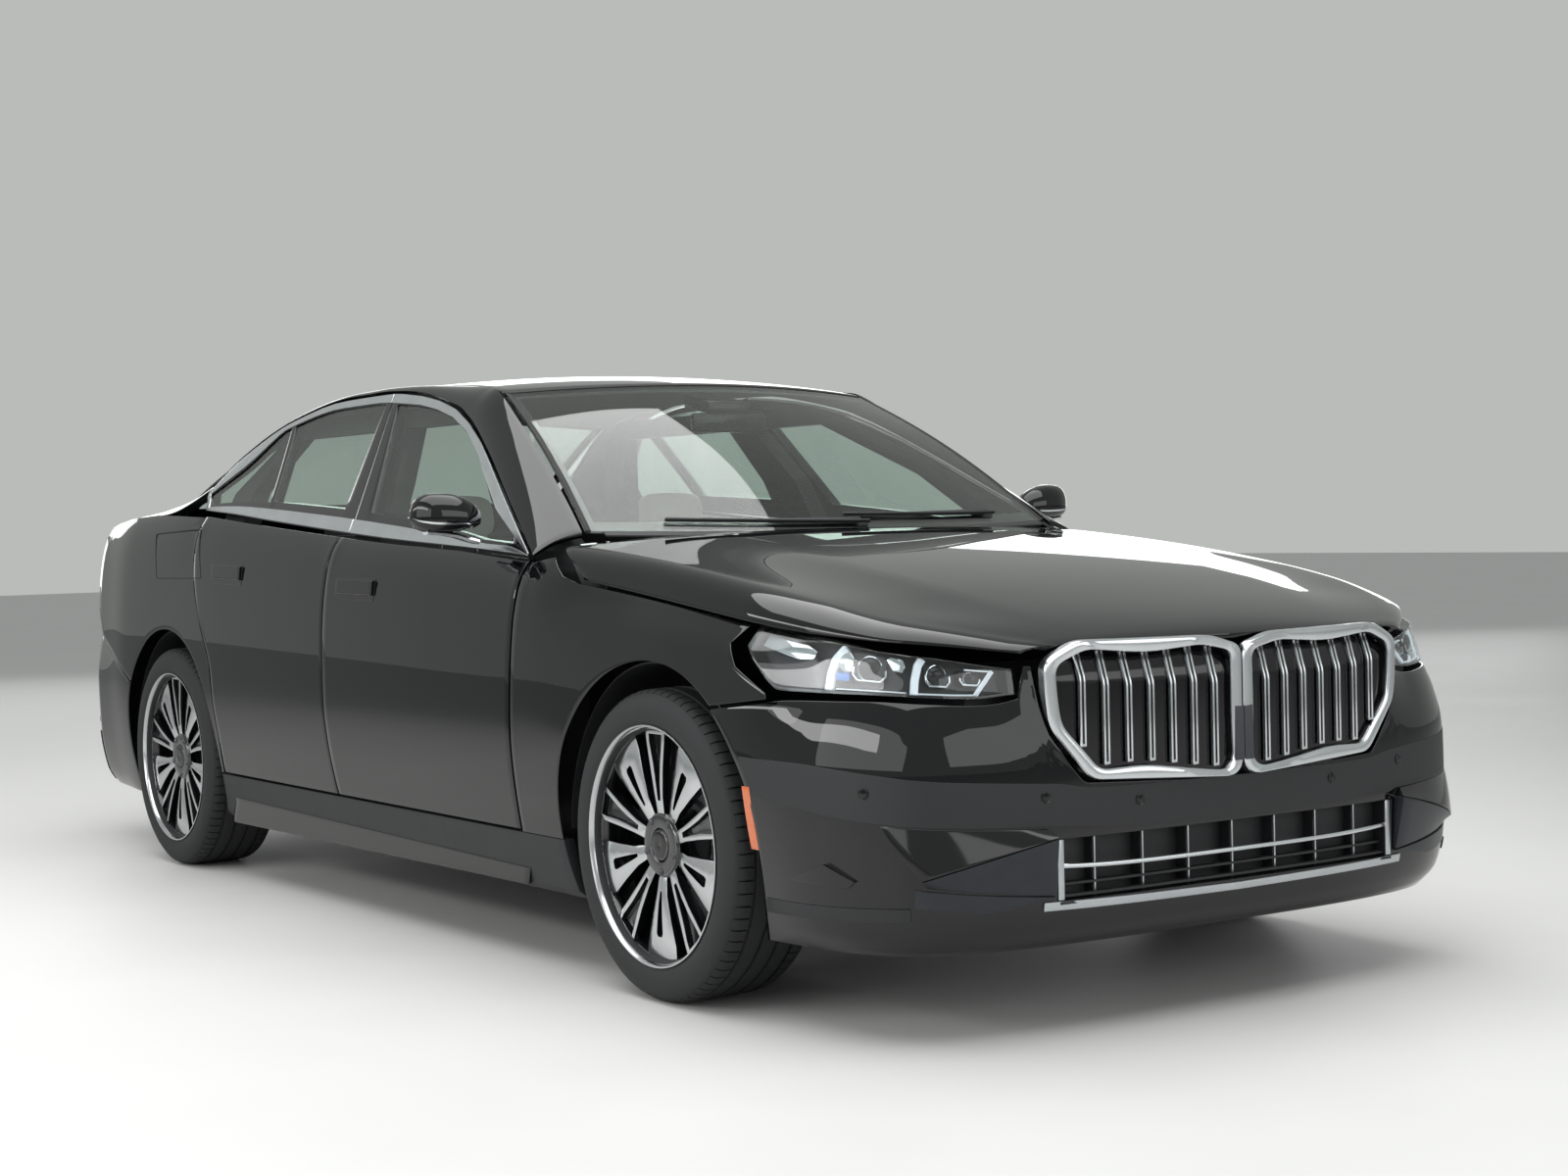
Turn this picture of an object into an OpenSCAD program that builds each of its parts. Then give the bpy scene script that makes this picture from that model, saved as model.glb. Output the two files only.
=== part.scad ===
// Large four-door saloon car with an electric drive, front towards -Y, standing on z = 0

/* [Overall] */
// Distance between the axles
wheelbase = 2995; // [2900:5:3050]
// Front axle ahead of the middle of the car
front_axle = 1600; // [1590:5:1610]
// Half width of the doors at their widest
half_width = 943; // [930:1:960]
// Top of the roof on the centre line
roof_top = 1515; // [1490:1:1540]
// Height of the wheel centres
hub_z = 352; // [350:1:354]

/* [Wheels] */
// Outer radius of the tyres
tyre_r = 352; // [346:1:352]
// Width of the tyres
tyre_w = 245; // [235:1:250]
// Outer radius of the rim flange
rim_r = 276; // [268:1:282]
// Middle plane of each wheel from the centre line
track_half = 805; // [798:1:810]
// Radius of the wheel arches
arch_r = 415; // [408:1:420]
// Brake disc radius
disc_r = 180; // [160:1:190]
// Wheel bolt circle
bolt_circle = 112; // [100:1:120]

/* [Panels] */
// Thickness of the steel skin at a shut line
skin = 3; // [2:0.5:4]
// Thickness of a whole door below the window
door_t = 110; // [90:1:120]
// Thickness of a window frame
frame_t = 36; // [28:1:40]
// Thickness of the glass
glass_t = 5; // [4:0.5:6]
// Shut gap between moving panels
gap = 6.5; // [5:0.5:8]
// Thickness of the bonnet, boot lid and fixed panels
panel_t = 22; // [16:1:28]
// Thickness of the front fenders
fender_t = 12; // [8:1:13]

/* [Doors] */
// Front edge of the front doors
door_front = -980; // [-985:1:-975]
// Shut line between the doors at its widest height
door_mid = 130; // [120:1:140]
// Rear edge of the rear doors under the belt
door_rear = 1165; // [1155:1:1175]
// Top of the side skirts
skirt_top = 330; // [322:1:338]
// Bottom of the side skirts
skirt_bottom = 182; // [170:1:195]

/* [Hidden] */
$fn = 64;
front_y = -front_axle;
seat_gap = 0.3;
rear_y = wheelbase - front_axle;

// Smooth curves through hand-set points [along, value]
function lerp(a, b, t) = a + (b - a) * t;
function ease(t) = t <= 0 ? 0 : t >= 1 ? 1 : t * t * (3 - 2 * t);
function grade(p, i) = (p[i + 1][1] - p[i][1]) / (p[i + 1][0] - p[i][0]);
function slope(p, i) =
  i == 0 ? grade(p, 0) : i == len(p) - 1 ? grade(p, i - 1) :
  let (a = grade(p, i - 1), b = grade(p, i)) a * b <= 0 ? 0 : 2 * a * b / (a + b);
function span(p, x) = max([0, for (k = [0 : len(p) - 2]) if (p[k][0] <= x) k]);
function curve(p, x) =
  let (i = span(p, x), h = p[i + 1][0] - p[i][0], t = (x - p[i][0]) / h)
  t < 0 ? p[0][1] + (x - p[0][0]) * slope(p, 0) :
  t > 1 ? p[i + 1][1] + (x - p[i + 1][0]) * slope(p, i + 1) :
  let (u = 1 - t)
  p[i][1] * (1 + 2 * t) * u * u + h * slope(p, i) * t * u * u
  + p[i + 1][1] * t * t * (3 - 2 * t) - h * slope(p, i + 1) * t * t * u;
function steps(a, b, n) = [for (k = [0 : n]) lerp(a, b, k / n)];

// Closed panel between an outer and an inner grid of points, with holes left between grid lines
function cell_open(m, n, holes, i, j) =
  i < 0 || j < 0 || i > m - 2 || j > n - 2
  || len([for (h = holes) if (i >= h[0] && i < h[1] && j >= h[2] && j < h[3]) 1]) > 0;
function two(a, b, c, d) = [[a, b, c], [a, c, d]];
module panel(outer, inner, holes = []) {
  m = len(outer);
  n = len(outer[0]);
  k = m * n;
  i0 = floor(m / 2);
  j0 = floor(n / 2);
  facing = cross(outer[i0][j0] - outer[i0 - 1][j0], outer[i0][j0] - outer[i0][j0 - 1]) * (outer[i0][j0] - inner[i0][j0]);
  faces = [
    for (i = [0 : m - 2], j = [0 : n - 2])
      if (!cell_open(m, n, holes, i, j))
        let (a = i * n + j, b = a + 1, c = a + n + 1, d = a + n)
          each concat(
            two(a, b, c, d), two(d + k, c + k, b + k, a + k),
            cell_open(m, n, holes, i - 1, j) ? two(b, a, a + k, b + k) : [],
            cell_open(m, n, holes, i + 1, j) ? two(d, c, c + k, d + k) : [],
            cell_open(m, n, holes, i, j - 1) ? two(a, d, d + k, a + k) : [],
            cell_open(m, n, holes, i, j + 1) ? two(c, b, b + k, c + k) : [])];
  polyhedron(concat([for (r = outer) each r], [for (r = inner) each r]),
    facing > 0 ? faces : [for (f = faces) [f[2], f[1], f[0]]], convexity = 8);
}
function moved(grid, v) = [for (r = grid) [for (p = r) p + v]];
module both() {
  children();
  mirror([1, 0, 0]) children();
}

// Body side: belt, crest of the shoulder and plan of the widest line, then the section below the belt
belt = [[-2100, 836], [-1900, 856], [-1540, 900], [-1240, 936], [-1120, 975], [-989, 992], [-93, 1041],
  [695, 1094], [1204, 1131], [1400, 1140], [1900, 1130], [2400, 1095]];
crest = [[-2200, 870], [-2050, 905], [-1810, 945], [-1540, 985], [-1300, 1010], [-1100, 1004], [-989, 992],
  [-93, 1041], [695, 1094], [1204, 1131], [1400, 1140], [1900, 1130], [2400, 1095]];
plan = [[-2005, -22], [-1600, -9], [-980, -2], [0, 0], [900, -1], [1395, -6], [1800, -12], [2050, -35]];
shoulder_front = [[0, 0], [0.4, 10], [0.6, 28], [0.79, 80], [0.92, 115], [1, 145]];
shoulder_door = [[0, 0], [0.3, 4], [0.6, 14], [0.8, 28], [0.92, 46], [1, 72]];
wide_z = 580;
function wide(y) = half_width + curve(plan, y);
function inset(y, z) =
  z < wide_z ? 58 * pow((wide_z - z) / 400, 1.6) :
  let (s = (z - wide_z) / (curve(crest, y) - wide_z))
  lerp(curve(shoulder_front, s), curve(shoulder_door, s), ease((y + 1500) / 500));
function side_x(y, z) = wide(y) - inset(y, z);
function side_pt(y, z) = [side_x(y, z), y, z];

// Greenhouse side and the outline of the side windows on it
glass_lean = 0.55;
function house_x(z) = 880 - glass_lean * (z - 1000);
function house_pt(y, z) = [house_x(z), y, z];
dlo_top = [[-989, 1004], [-712, 1152], [-365, 1333], [-175, 1404], [80, 1452], [315, 1470], [634, 1466],
  [973, 1417], [1265, 1309], [1400, 1208]];
pane_top = [[-900, 1036], [-695, 1117], [-480, 1249], [-289, 1351], [-180, 1383], [-13, 1414], [245, 1436],
  [317, 1441], [615, 1449], [958, 1405], [1187, 1279], [1385, 1196]];
pane_low = [[-900, 1032], [18, 1068], [235, 1074], [803, 1105], [1187, 1142], [1358, 1152]];

// Ends of the car: plan curve at bumper height and how far the face leans in above and below
nose_plan = [[0, -2512], [300, -2508], [500, -2492], [650, -2462], [760, -2412], [830, -2345],
  [878, -2255], [906, -2130], [921, -2005], [929, -1850]];
tail_plan = [[0, 2530], [350, 2520], [550, 2492], [700, 2440], [800, 2365], [865, 2265], [900, 2150],
  [921, 2020], [940, 1850]];
nose_lean = [[182, 60], [230, 20], [300, 5], [450, 0], [560, 2], [650, 22], [710, 46], [760, 60],
  [810, 76], [860, 105]];
tail_lean = [[182, 75], [260, 28], [400, 5], [560, 0], [700, 15], [800, 38], [900, 55], [1000, 78],
  [1095, 102]];
function along(p, t) =
  let (n = len(p) - 1, i = min(n - 1, floor(t * n)), f = t * n - i,
    a = p[max(0, i - 1)], b = p[i], c = p[i + 1], d = p[min(n, i + 2)],
    ma = i == 0 ? [c[0] - b[0], 0] : (c - a) / 2, mc = (d - b) / 2)
  b * (1 + 2 * f) * pow(1 - f, 2) + ma * f * pow(1 - f, 2) + c * f * f * (3 - 2 * f) - mc * f * f * (1 - f);
function unit2(v) = v / norm(v);
function end_pt(p, lean, t, z, calm) =
  let (q = along(p, t), d = unit2(along(p, min(1, t + 0.01)) - along(p, max(0, t - 0.01))),
    out = p[0][1] < 0 ? [d[1], -d[0]] : [-d[1], d[0]],
    top = z > wide_z ? lerp(calm, 1, ease((q[0] - 430) / 200)) : 1,
    lean_end = curve(lean, z) * top, lean_side = inset(q[1], z),
    back = lerp(lean_end, lean_side, ease((t - 0.72) / 0.25)))
  [max(0, q[0] - out[0] * back), q[1] - out[1] * back, z];
function nose(t, z) = end_pt(nose_plan, nose_lean, t, z, 0.12);
function tail(t, z) = end_pt(tail_plan, tail_lean, t, z, 0.8);

// Grid rows from key stations, each stretch split evenly
function spread(keys, cuts) =
  concat([keys[0]], [for (i = [0 : len(keys) - 2], k = [1 : cuts[i]]) lerp(keys[i], keys[i + 1], k / cuts[i])]);
function clamp(v, a, b) = max(a, min(b, v));

// Shut line between the doors and rear edge of the rear door, by height
mid_line = [[330, -30], [486, -11], [604, 0], [824, 12], [1046, 7], [1070, 4], [1440, 151]];
rear_line = [[330, -203], [420, -207], [540, -190], [666, -165], [760, -105], [835, -53], [967, -5], [1060, 5],
  [1130, 1]];
function mid_y(z) = door_mid + curve(mid_line, z);
function rear_edge_y(z) = door_rear + curve(rear_line, z);
low_rows = 7;
door_low = skirt_top + gap / 2;

// Height of a row above the belt: 0 and 5 are the outline of the side glazing, 1 and 4 the glass edges
function upper_z(y, r) =
  let (a = curve(belt, y) + 8, b = curve(dlo_top, y), low = clamp((curve(pane_low, y) - a) / (b - a), 0.16, 0.42),
    high = clamp((curve(pane_top, y) - a) / (b - a), 0.6, 0.93),
    f = r == 0 ? 0 : r == 5 ? 1 : lerp(low, high, (r - 1) / 3))
  lerp(a, b, f);
function upper_pt(y, r) = house_pt(y, upper_z(y, r));
row_share = [0, 0.16, 0.41, 0.67, 0.92, 1];

// Front door: columns 0 to 2 run from the shut line past the hinge, the glass lies between columns 3 and 11
front_cuts = [1, 1, 1, 8, 1, 1, 1];
function front_low_keys(f) =
  let (m = mid_y(lerp(door_low, 1052, f)))
  [door_front + gap / 2, door_front + 68, door_front + 72, door_front + 100, m - 110, m - 26, m - 22, m - gap / 2];
front_bottom_keys = [-984, -930, -926, -880, 18, 99, 103, mid_y(1070) - gap / 2];
front_top_keys = [-984, -930, -926, -868, 245, 256, 260, mid_y(1440) - gap / 2];
function door_front_outer() =
  let (rows = [
    for (j = [0 : low_rows])
      [for (y = spread(front_low_keys(j / low_rows), front_cuts))
        side_pt(y, lerp(door_low, curve(belt, y) - 2, j / low_rows))],
    for (r = [0 : 5])
      [for (y = spread(lerp(front_bottom_keys, front_top_keys, row_share[r]), front_cuts)) upper_pt(y, r)]])
  [for (i = [0 : len(rows[0]) - 1]) [for (row = rows) row[i]]];

// Rear door: main glass between columns 3 and 9, quarter glass between 10 and 13
rear_cuts = [1, 1, 1, 6, 1, 3, 2, 1];
function rear_low_keys(f) =
  let (m = mid_y(lerp(door_low, 1052, f)), e = rear_edge_y(lerp(door_low, 1128, f)))
  [m + gap / 2, door_mid + 48, door_mid + 52, 300, 780, 810, e - 60, e - 22, e - gap / 2];
rear_bottom_keys = [mid_y(1070) + gap / 2, 150, 154, 235, 790, 815, 1165, 1330, 1352];
rear_top_keys = [mid_y(1440) + gap / 2, 298, 302, 317, 946, 970, 1182, 1380, 1400];
function door_rear_outer() =
  let (rows = [
    for (j = [0 : low_rows])
      [for (y = spread(rear_low_keys(j / low_rows), rear_cuts))
        side_pt(y, lerp(door_low, curve(belt, y) - 2, j / low_rows))],
    for (r = [0 : 5])
      [for (y = spread(lerp(rear_bottom_keys, rear_top_keys, row_share[r]), rear_cuts)) upper_pt(y, r)]])
  [for (i = [0 : len(rows[0]) - 1]) [for (row = rows) row[i]]];
function door_depth(i, j, n) =
  let (edge = i < 2 || i > n - 3, bottom = j == 0)
  edge ? skin : j > low_rows ? frame_t : bottom ? door_t * 0.6 : j == low_rows ? frame_t + 18 : door_t;
function inward(grid) =
  let (top = len(grid[0]) - 1)
  [for (i = [0 : len(grid) - 1]) [for (j = [0 : top])
    grid[i][j] - (j == top ? [min(door_depth(i, j, len(grid)), 20), 0, 8] : [door_depth(i, j, len(grid)), 0, 0])]];
function block(grid, a, b, c, d) = [for (i = [a : b]) [for (j = [c : d]) grid[i][j]]];
function mean(grid) =
  let (all = [for (r = grid) each r]) [for (k = [0 : 2]) (min([for (p = all) p[k]]) + max([for (p = all) p[k]])) / 2];
glass_play = 0.0016;
function shrunk(grid) =
  let (c = mean(grid)) [for (r = grid) [for (p = r) [p[0], lerp(p[1], c[1], glass_play), lerp(p[2], c[2], glass_play)]]];
glass_in = 5;
module pane(grid) {
  g = moved(shrunk(grid), [-glass_in, 0, 0]);
  panel(g, moved(g, [-glass_t, 0, 0]));
}
module door_front_shell() {
  g = door_front_outer();
  color("#15171a") {
    panel(g, inward(g), [[3, 11, low_rows + 2, low_rows + 5]]);
    front_pins();
  }
}
module glass_front_shell() {
  g = door_front_outer();
  color("#9fb4b8", 0.5) pane(block(g, 3, 11, low_rows + 2, low_rows + 5));
}
module door_rear_shell() {
  g = door_rear_outer();
  color("#15171a")
    panel(g, inward(g), [[3, 9, low_rows + 2, low_rows + 5], [10, 13, low_rows + 2, low_rows + 5]]);
}
module glass_rear_shell() {
  g = door_rear_outer();
  color("#9fb4b8", 0.5) {
    pane(block(g, 3, 9, low_rows + 2, low_rows + 5));
    pane(block(g, 10, 13, low_rows + 2, low_rows + 5));
  }
}
module door_front_left() { door_front_shell(); }
module door_front_right() { mirror([1, 0, 0]) door_front_shell(); }
module door_rear_left() { door_rear_shell(); }
module door_rear_right() { mirror([1, 0, 0]) door_rear_shell(); }
module glass_front_left() { glass_front_shell(); }
module glass_front_right() { mirror([1, 0, 0]) glass_front_shell(); }
module glass_rear_left() { glass_rear_shell(); }
module glass_rear_right() { mirror([1, 0, 0]) glass_rear_shell(); }

// Door mirror: housing and the arm to the corner of the window
module mirror_shell() {
  color("#15171a") {
    hull() {
      translate([985, -735, 1105]) scale([1, 0.62, 1]) sphere(r = 62, $fn = 20);
      translate([1010, -735, 1095]) scale([1, 0.55, 1]) sphere(r = 58, $fn = 20);
      translate([930, -735, 1092]) scale([1, 0.5, 1]) sphere(r = 45, $fn = 20);
    }
    hull() {
      translate([915, -750, 1050]) cube([60, 60, 14]);
      translate([house_x(1022) + 0.3, -790, 1022]) cube([10, 90, 16]);
    }
  }
}
module mirror_left() { mirror_shell(); }
module mirror_right() { mirror([1, 0, 0]) mirror_shell(); }

// Front fender: radial strips from the wheel arch to the outline [angle, y, z]
panel_low = skirt_top - gap / 2 + seat_gap;
low_angle = asin((hub_z - panel_low) / arch_r);
fender_line = [[-low_angle, -986, panel_low], [10, -986, 500], [25, -986, 700], [37, -986, 850], [47, -993, 984],
  [54, -1100, 996], [62, -1168, 952], [66, -1240, 933], [78, -1400, 914], [90, -1600, 891], [102, -1800, 866],
  [110, -1918, 851], [115, -1892, 812], [120, -1935, 765], [126, -2055, 714], [128, -2058, 702]];
function radial(axle, r, line, cuts, rings) =
  [for (i = [0 : len(line) - 2], k = [(i == 0 ? 0 : 1) : cuts])
    let (a = lerp(line[i][0], line[i + 1][0], k / cuts), e = lerp(line[i], line[i + 1], k / cuts))
    [for (j = [0 : rings])
      let (q = lerp([axle + r * cos(a), hub_z + r * sin(a)], [e[1], e[2]], pow(j / rings, 1.2)))
      side_pt(q[0], q[1])]];
module front_fenders() {
  g = radial(front_y, arch_r, fender_line, 2, 5);
  color("#15171a") both() panel(moved(g, [-fender_t, 0, 0]), g);
}

// Body side: quarter panel round the rear arch
quarter_angles = [183, 171, 159, 147, 134, 121, 111, 101];
quarter_line = [for (j = [0 : low_rows]) let (z = lerp(door_low, 1124, j / low_rows))
    [quarter_angles[j], rear_edge_y(z + 2) + gap / 2, z],
  [88, 1420, 1133], [77, 1620, 1138],
  [70, 1760, 1134], [64, 1900, 1129], [56, 2060, 1116], [49, 2150, 1101], [44, 2168, 960], [39, 2168, 830], [34, 2100, 724]];
module quarter() {
  g = radial(rear_y, arch_r, quarter_line, 1, 6);
  panel(g, moved(g, [-panel_t, 0, 0]));
}
// Pillars and roof rail: lower edge on the glazing outline or the belt, upper edge at the screens and the roof
rail_gap = gap + 3;
rail_high = [[752, -1030, 1056], [720, -900, 1135], [672, -680, 1262], [641, -515, 1352], [610, -349, 1439],
  [598, -268, 1455], [588, -190, 1464], [576, 80, 1482], [570, 315, 1486], [568, 480, 1485], [568, 634, 1480],
  [564, 790, 1468], [561, 930, 1452], [560, 1030, 1434], [566, 1120, 1409], [592, 1260, 1354], [626, 1410, 1290],
  [640, 1480, 1260], [664, 1600, 1214], [694, 1720, 1172], [706, 1800, 1148], [706, 1900, 1135], [706, 2060, 1121],
  [706, 2150, 1113]];
rail_open = [-1010, -900, -712, -540, -365, -270, -175, 80, 315, 480, 634, 800, 973, 1100, 1200, 1300, 1392];
rail_low = concat([for (y = rail_open) [y, curve(dlo_top, y) + rail_gap]],
  [[1416, 1212], [1440, 1150], [1620, 1136], [1760, 1132], [1900, 1127], [2060, 1114], [2150, 1099]]);
function rail_row(i) =
  let (q = rail_low[i], low = q[0] < 1430 ? house_pt(q[0], q[1]) : side_pt(q[0], q[1]), high = rail_high[i])
  [for (k = [0 : 3]) lerp(low, high, k / 3) + [5, 0, 7] * sin(60 * k)];
rail_depth = [[-5, 0, -3], [-9, 0, -6], [-7, 0, -11], [0, 0, -15]];
module rail() {
  g = [for (i = [0 : len(rail_low) - 1]) rail_row(i)];
  h = [for (r = g) [for (k = [0 : 3]) r[k] + rail_depth[k]]];
  panel(h, g);
}
deck_side = 700;
// Rear corner: from the side of the boot lid over the deck and round above the tail lamp
corner_t = [0.4, 0.8];
corner_low = 974;
function corner_row(k) =
  let (t = lerp(corner_t[0], corner_t[1], k))
  [[deck_side + gap, lerp(2392, 2150, k), lerp(1094, 1113, k)], for (z = [1088, 1045, corner_low])
    let (p = tail(t, z)) [max(deck_side + gap + 2, p[0]), p[1], z]];
module rear_corner() {
  g = [for (k = steps(0, 1, 8)) corner_row(k)];
  h = [for (k = steps(0, 1, 8)) let (r = corner_row(k), d = [-14 * k, -14 * (1 - k), 0])
    [r[0] - [0, 0, 16], r[1] + d - [0, 0, 14], r[2] + d, r[3] + d]];
  panel(g, h);
}
module body_sides() {
  color("#15171a") both() {
    quarter();
    rail();
    rear_corner();
  }
}

// Inner ring of each body side with its two door openings, rows as [height, stations]
ring = [
  [200, [-1120, -880, 30, 230, 870, 930]],
  [370, [-1120, -870, 30, 230, 860, 930]],
  [520, [-1120, -868, 35, 230, 880, 935]],
  [720, [-1120, -868, 40, 232, 975, 1130]],
  [900, [-1120, -860, 45, 236, 1080, 1260]],
  [1010, [-1040, -830, 55, 242, 1130, 1330]],
  [1200, [-640, -550, 90, 265, 1150, 1300]],
  [1365, [-270, -180, 190, 325, 1000, 1090]],
  [1423, [-110, -20, 215, 345, 860, 930]]];
ring_cuts = [1, 4, 1, 3, 1];
ring_x = 796;
ring_t = 60;
function ring_row(r) =
  [for (y = spread(r[1], ring_cuts)) [min(ring_x, house_x(r[0]) - frame_t - 16), y, r[0]]];
module side_frames() {
  g0 = [for (r = ring) ring_row(r)];
  g = [for (i = [0 : len(g0[0]) - 1]) [for (row = g0) row[i]]];
  color("#2b2d30") both() {
    panel(g, moved(g, [-ring_t, 0, 0]), [[1, 5, 1, 7], [6, 9, 1, 7]]);
    for (z = hinge_z) {
      translate([ring_x + seat_gap, hinge_front[1] - 6, z]) cube([hinge_front[0] - ring_x, 12, hinge_h]);
      translate([hinge_front[0], hinge_front[1], z]) cylinder(r = 8, h = hinge_h);
      translate([ring_x + seat_gap, 167, z]) cube([900 - ring_x, 12.1, hinge_h]);
    }
    translate([front_rail_x - 60, rail_front, rail_low_z]) cube([60 - seat_gap, -1108.3 - rail_front, 80]);
    translate([front_rail_x - 60, -2395, rail_low_z + 70]) cube([220, 18, 272.7 - 70]);
  }
}
// Door hinges: arms from the body posts and the pins of the front doors
hinge_z = [470, 700];
hinge_h = 30;
hinge_front = [918, -920];
module front_pins() {
  for (z = hinge_z) translate([hinge_front[0], hinge_front[1], z + hinge_h + seat_gap]) cylinder(r = 8.4, h = hinge_h);
}
rail_low_z = 430;
rail_front = -2474.3;

// Roof between the two rails
roof_mid = [[-445, 1462], [-250, 1490], [0, 1510], [280, 1515], [600, 1508], [900, 1478], [1080, 1444]];
function roof_pt(w, u) =
  let (ye = lerp(-349, 1090, u), edge = [curve([for (q = rail_high) [q[1], q[0]]], ye), ye,
      curve([for (q = rail_high) [q[1], q[2]]], ye)], yc = lerp(-445, 1100, u), x = (edge[0] - gap) * w, y = lerp(yc, edge[1], w * w),
    zc = curve(roof_mid, yc) + roof_top - 1515, z = lerp(zc, edge[2], pow(abs(w), 2.2)))
  [x, y, z];
module roof_panel() {
  g = [for (w = steps(-1, 1, 10)) [for (u = steps(0, 1, 9)) roof_pt(w, u)]];
  color("#15171a") {
    panel(g, moved(g, [0, 0, -panel_t]));
    translate([-560, 295, 1440]) cube([1120, 50, 24]);
    both() translate([540, 295, 1423 + seat_gap]) cube([20, 50, 40]);
  }
}

// Windscreen and rear window, each a sheet between a lower and an upper edge
function screen_pt(low, low_side, high, high_side, bulge, w, u) =
  let (a = [low_side[0] * w, lerp(low[1], low_side[1], w * w), lerp(low[2], low_side[2], w * w)],
    b = [high_side[0] * w, lerp(high[1], high_side[1], w * w), lerp(high[2], high_side[2], w * w)])
  lerp(a, b, u) + [0, 0, bulge * sin(180 * u)];
ws_low = [0, -1150, 1046];
ws_low_side = [738, -1020, 1058];
ws_high = [0, -449, 1460];
ws_high_side = [598, -356, 1436];
bl_low = [0, 1900, 1146];
bl_low_side = [700, 1856, 1140];
bl_high = [0, 1104, 1440];
bl_high_side = [552, 1096, 1414];
screen_t = 6;
function windscreen_pt(w, u) = screen_pt(ws_low, ws_low_side, ws_high, ws_high_side, 26, w, u);
function rear_window_pt(w, u) =
  let (p = screen_pt(bl_low, bl_low_side, bl_high, bl_high_side, 22, w, u))
  [p[0] + 14 * w * sin(180 * u), p[1], p[2]];
module windscreen() {
  g = [for (w = steps(-1, 1, 10)) [for (u = steps(0, 1, 6)) windscreen_pt(w, u)]];
  color("#9fb4b8", 0.5) panel(moved(g, [0, 0, -screen_t]), moved(g, [0, 0, 0]));
}
module rear_window() {
  g = [for (w = steps(-1, 1, 10)) [for (u = steps(0, 1, 6)) rear_window_pt(w, u)]];
  color("#9fb4b8", 0.5) panel(moved(g, [0, 0, 0]), moved(g, [0, 0, -screen_t]));
}

// Bonnet: flat middle to the crests, then over the shoulders down to the fender shut line
bonnet_mid = [[-2530, 792], [-2440, 836], [-2200, 900], [-1900, 957], [-1540, 1008], [-1180, 1050]];
shut_z = [[-2490, 781], [-2350, 806], [-2070, 836], [-1900, 856], [-1540, 900], [-1240, 936]];
crest_x = [[-2490, 440], [-2350, 610], [-2200, 722], [-2050, 764], [-1810, 790], [-1540, 797], [-1100, 798]];
edge_x = [[-2490, 524], [-2350, 702], [-2265, 785], [-2070, 846], [-1900, 862], [-1540, 862], [-1240, 868]];
crest_z = [[-2490, 800], [-2350, 838], [-2200, 872], [-2050, 905], [-1810, 945], [-1540, 982], [-1300, 1008],
  [-1100, 1026]];
bonnet_front = [[0, -2497], [0.3, -2493], [0.55, -2484], [0.8, -2470], [1, -2458]];
bonnet_rear = [[0, -1186], [0.5, -1150], [0.85, -1098], [1, -1240]];
function bonnet_y(w, u) = lerp(curve(bonnet_front, w), w > 0.86 ? lerp(-1098, -1236, ease((w - 0.86) / 0.14)) :
  curve(bonnet_rear, w), u);
function bonnet_pt(s, u) =
  let (w = abs(s), y = bonnet_y(w, u), xc = curve(crest_x, y), zc = curve(crest_z, y), flat = 0.8)
  w <= flat ?
    let (f = w / flat) [sign(s) * xc * f, y, lerp(curve(bonnet_mid, y), zc, pow(f, 2.2))] :
    let (f = (w - flat) / (1 - flat), xe = curve(edge_x, y) - 2, ze = curve(shut_z, y) + gap)
    [sign(s) * (xc + (xe - xc) * sin(90 * f)), y, ze + (zc - ze) * cos(90 * f)];
module bonnet() {
  ws = [-1, -0.95, -0.9, -0.85, -0.8, -0.64, -0.48, -0.32, -0.16, 0, 0.16, 0.32, 0.48, 0.64, 0.8, 0.85, 0.9, 0.95, 1];
  g = [for (w = ws) [for (u = steps(0, 1, 9)) bonnet_pt(w, u)]];
  h = [for (w = ws) [for (u = steps(0, 1, 9)) bonnet_pt(w, u)
    - [sign(w) * (abs(w) > 0.8 ? 14 : 0), 0, abs(w) > 0.86 ? 2 : panel_t]]];
  color("#15171a") {
    panel(h, g);
    both() bonnet_arm();
  }
}

// Hinge arm from the pivot on the cowl to the underside of the bonnet
bonnet_pivot = [-1075, 1000];
bonnet_arm_x = 600;
module bonnet_arm() {
  translate([bonnet_arm_x + 8, bonnet_pivot[0], bonnet_pivot[1]]) rotate([0, 90, 0]) cylinder(r = 8.7, h = 10, $fn = 20);
  arm([bonnet_arm_x + 13, bonnet_pivot[0], bonnet_pivot[1]], [bonnet_arm_x + 13, -1140, 1020], 9, 14);
}

// Boot lid: deck, then the upright rear face
function boot_pt(w, u) =
  let (deck = u < 0.5, f = deck ? u / 0.5 : (u - 0.5) / 0.5, x = w * deck_side, t = 0.42 * abs(w),
    top = [x, lerp(1912 - 44 * w * w, tail(t, 1098)[1] - 6, f), lerp(1146 - 8 * w * w, 1100 - 8 * w * w, f)],
    z = lerp(1092, 790, f), face = [x, tail(t, z)[1] - 2, z])
  deck ? top : face;
module boot_lid() {
  us = [0, 0.16, 0.33, 0.499, 0.5, 0.6, 0.7, 0.8, 0.9, 1];
  ws = steps(-1, 1, 12);
  g = [for (w = ws) [for (u = us) boot_pt(w, u)]];
  h = [for (w = ws) [for (u = us) boot_pt(w, u) - (u < 0.49 ? [0, 0, panel_t] : u < 0.51 ? [0, panel_t, panel_t] :
    [0, panel_t, 0])]];
  color("#15171a") {
    panel(h, g);
    both() boot_neck();
  }
}
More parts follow.
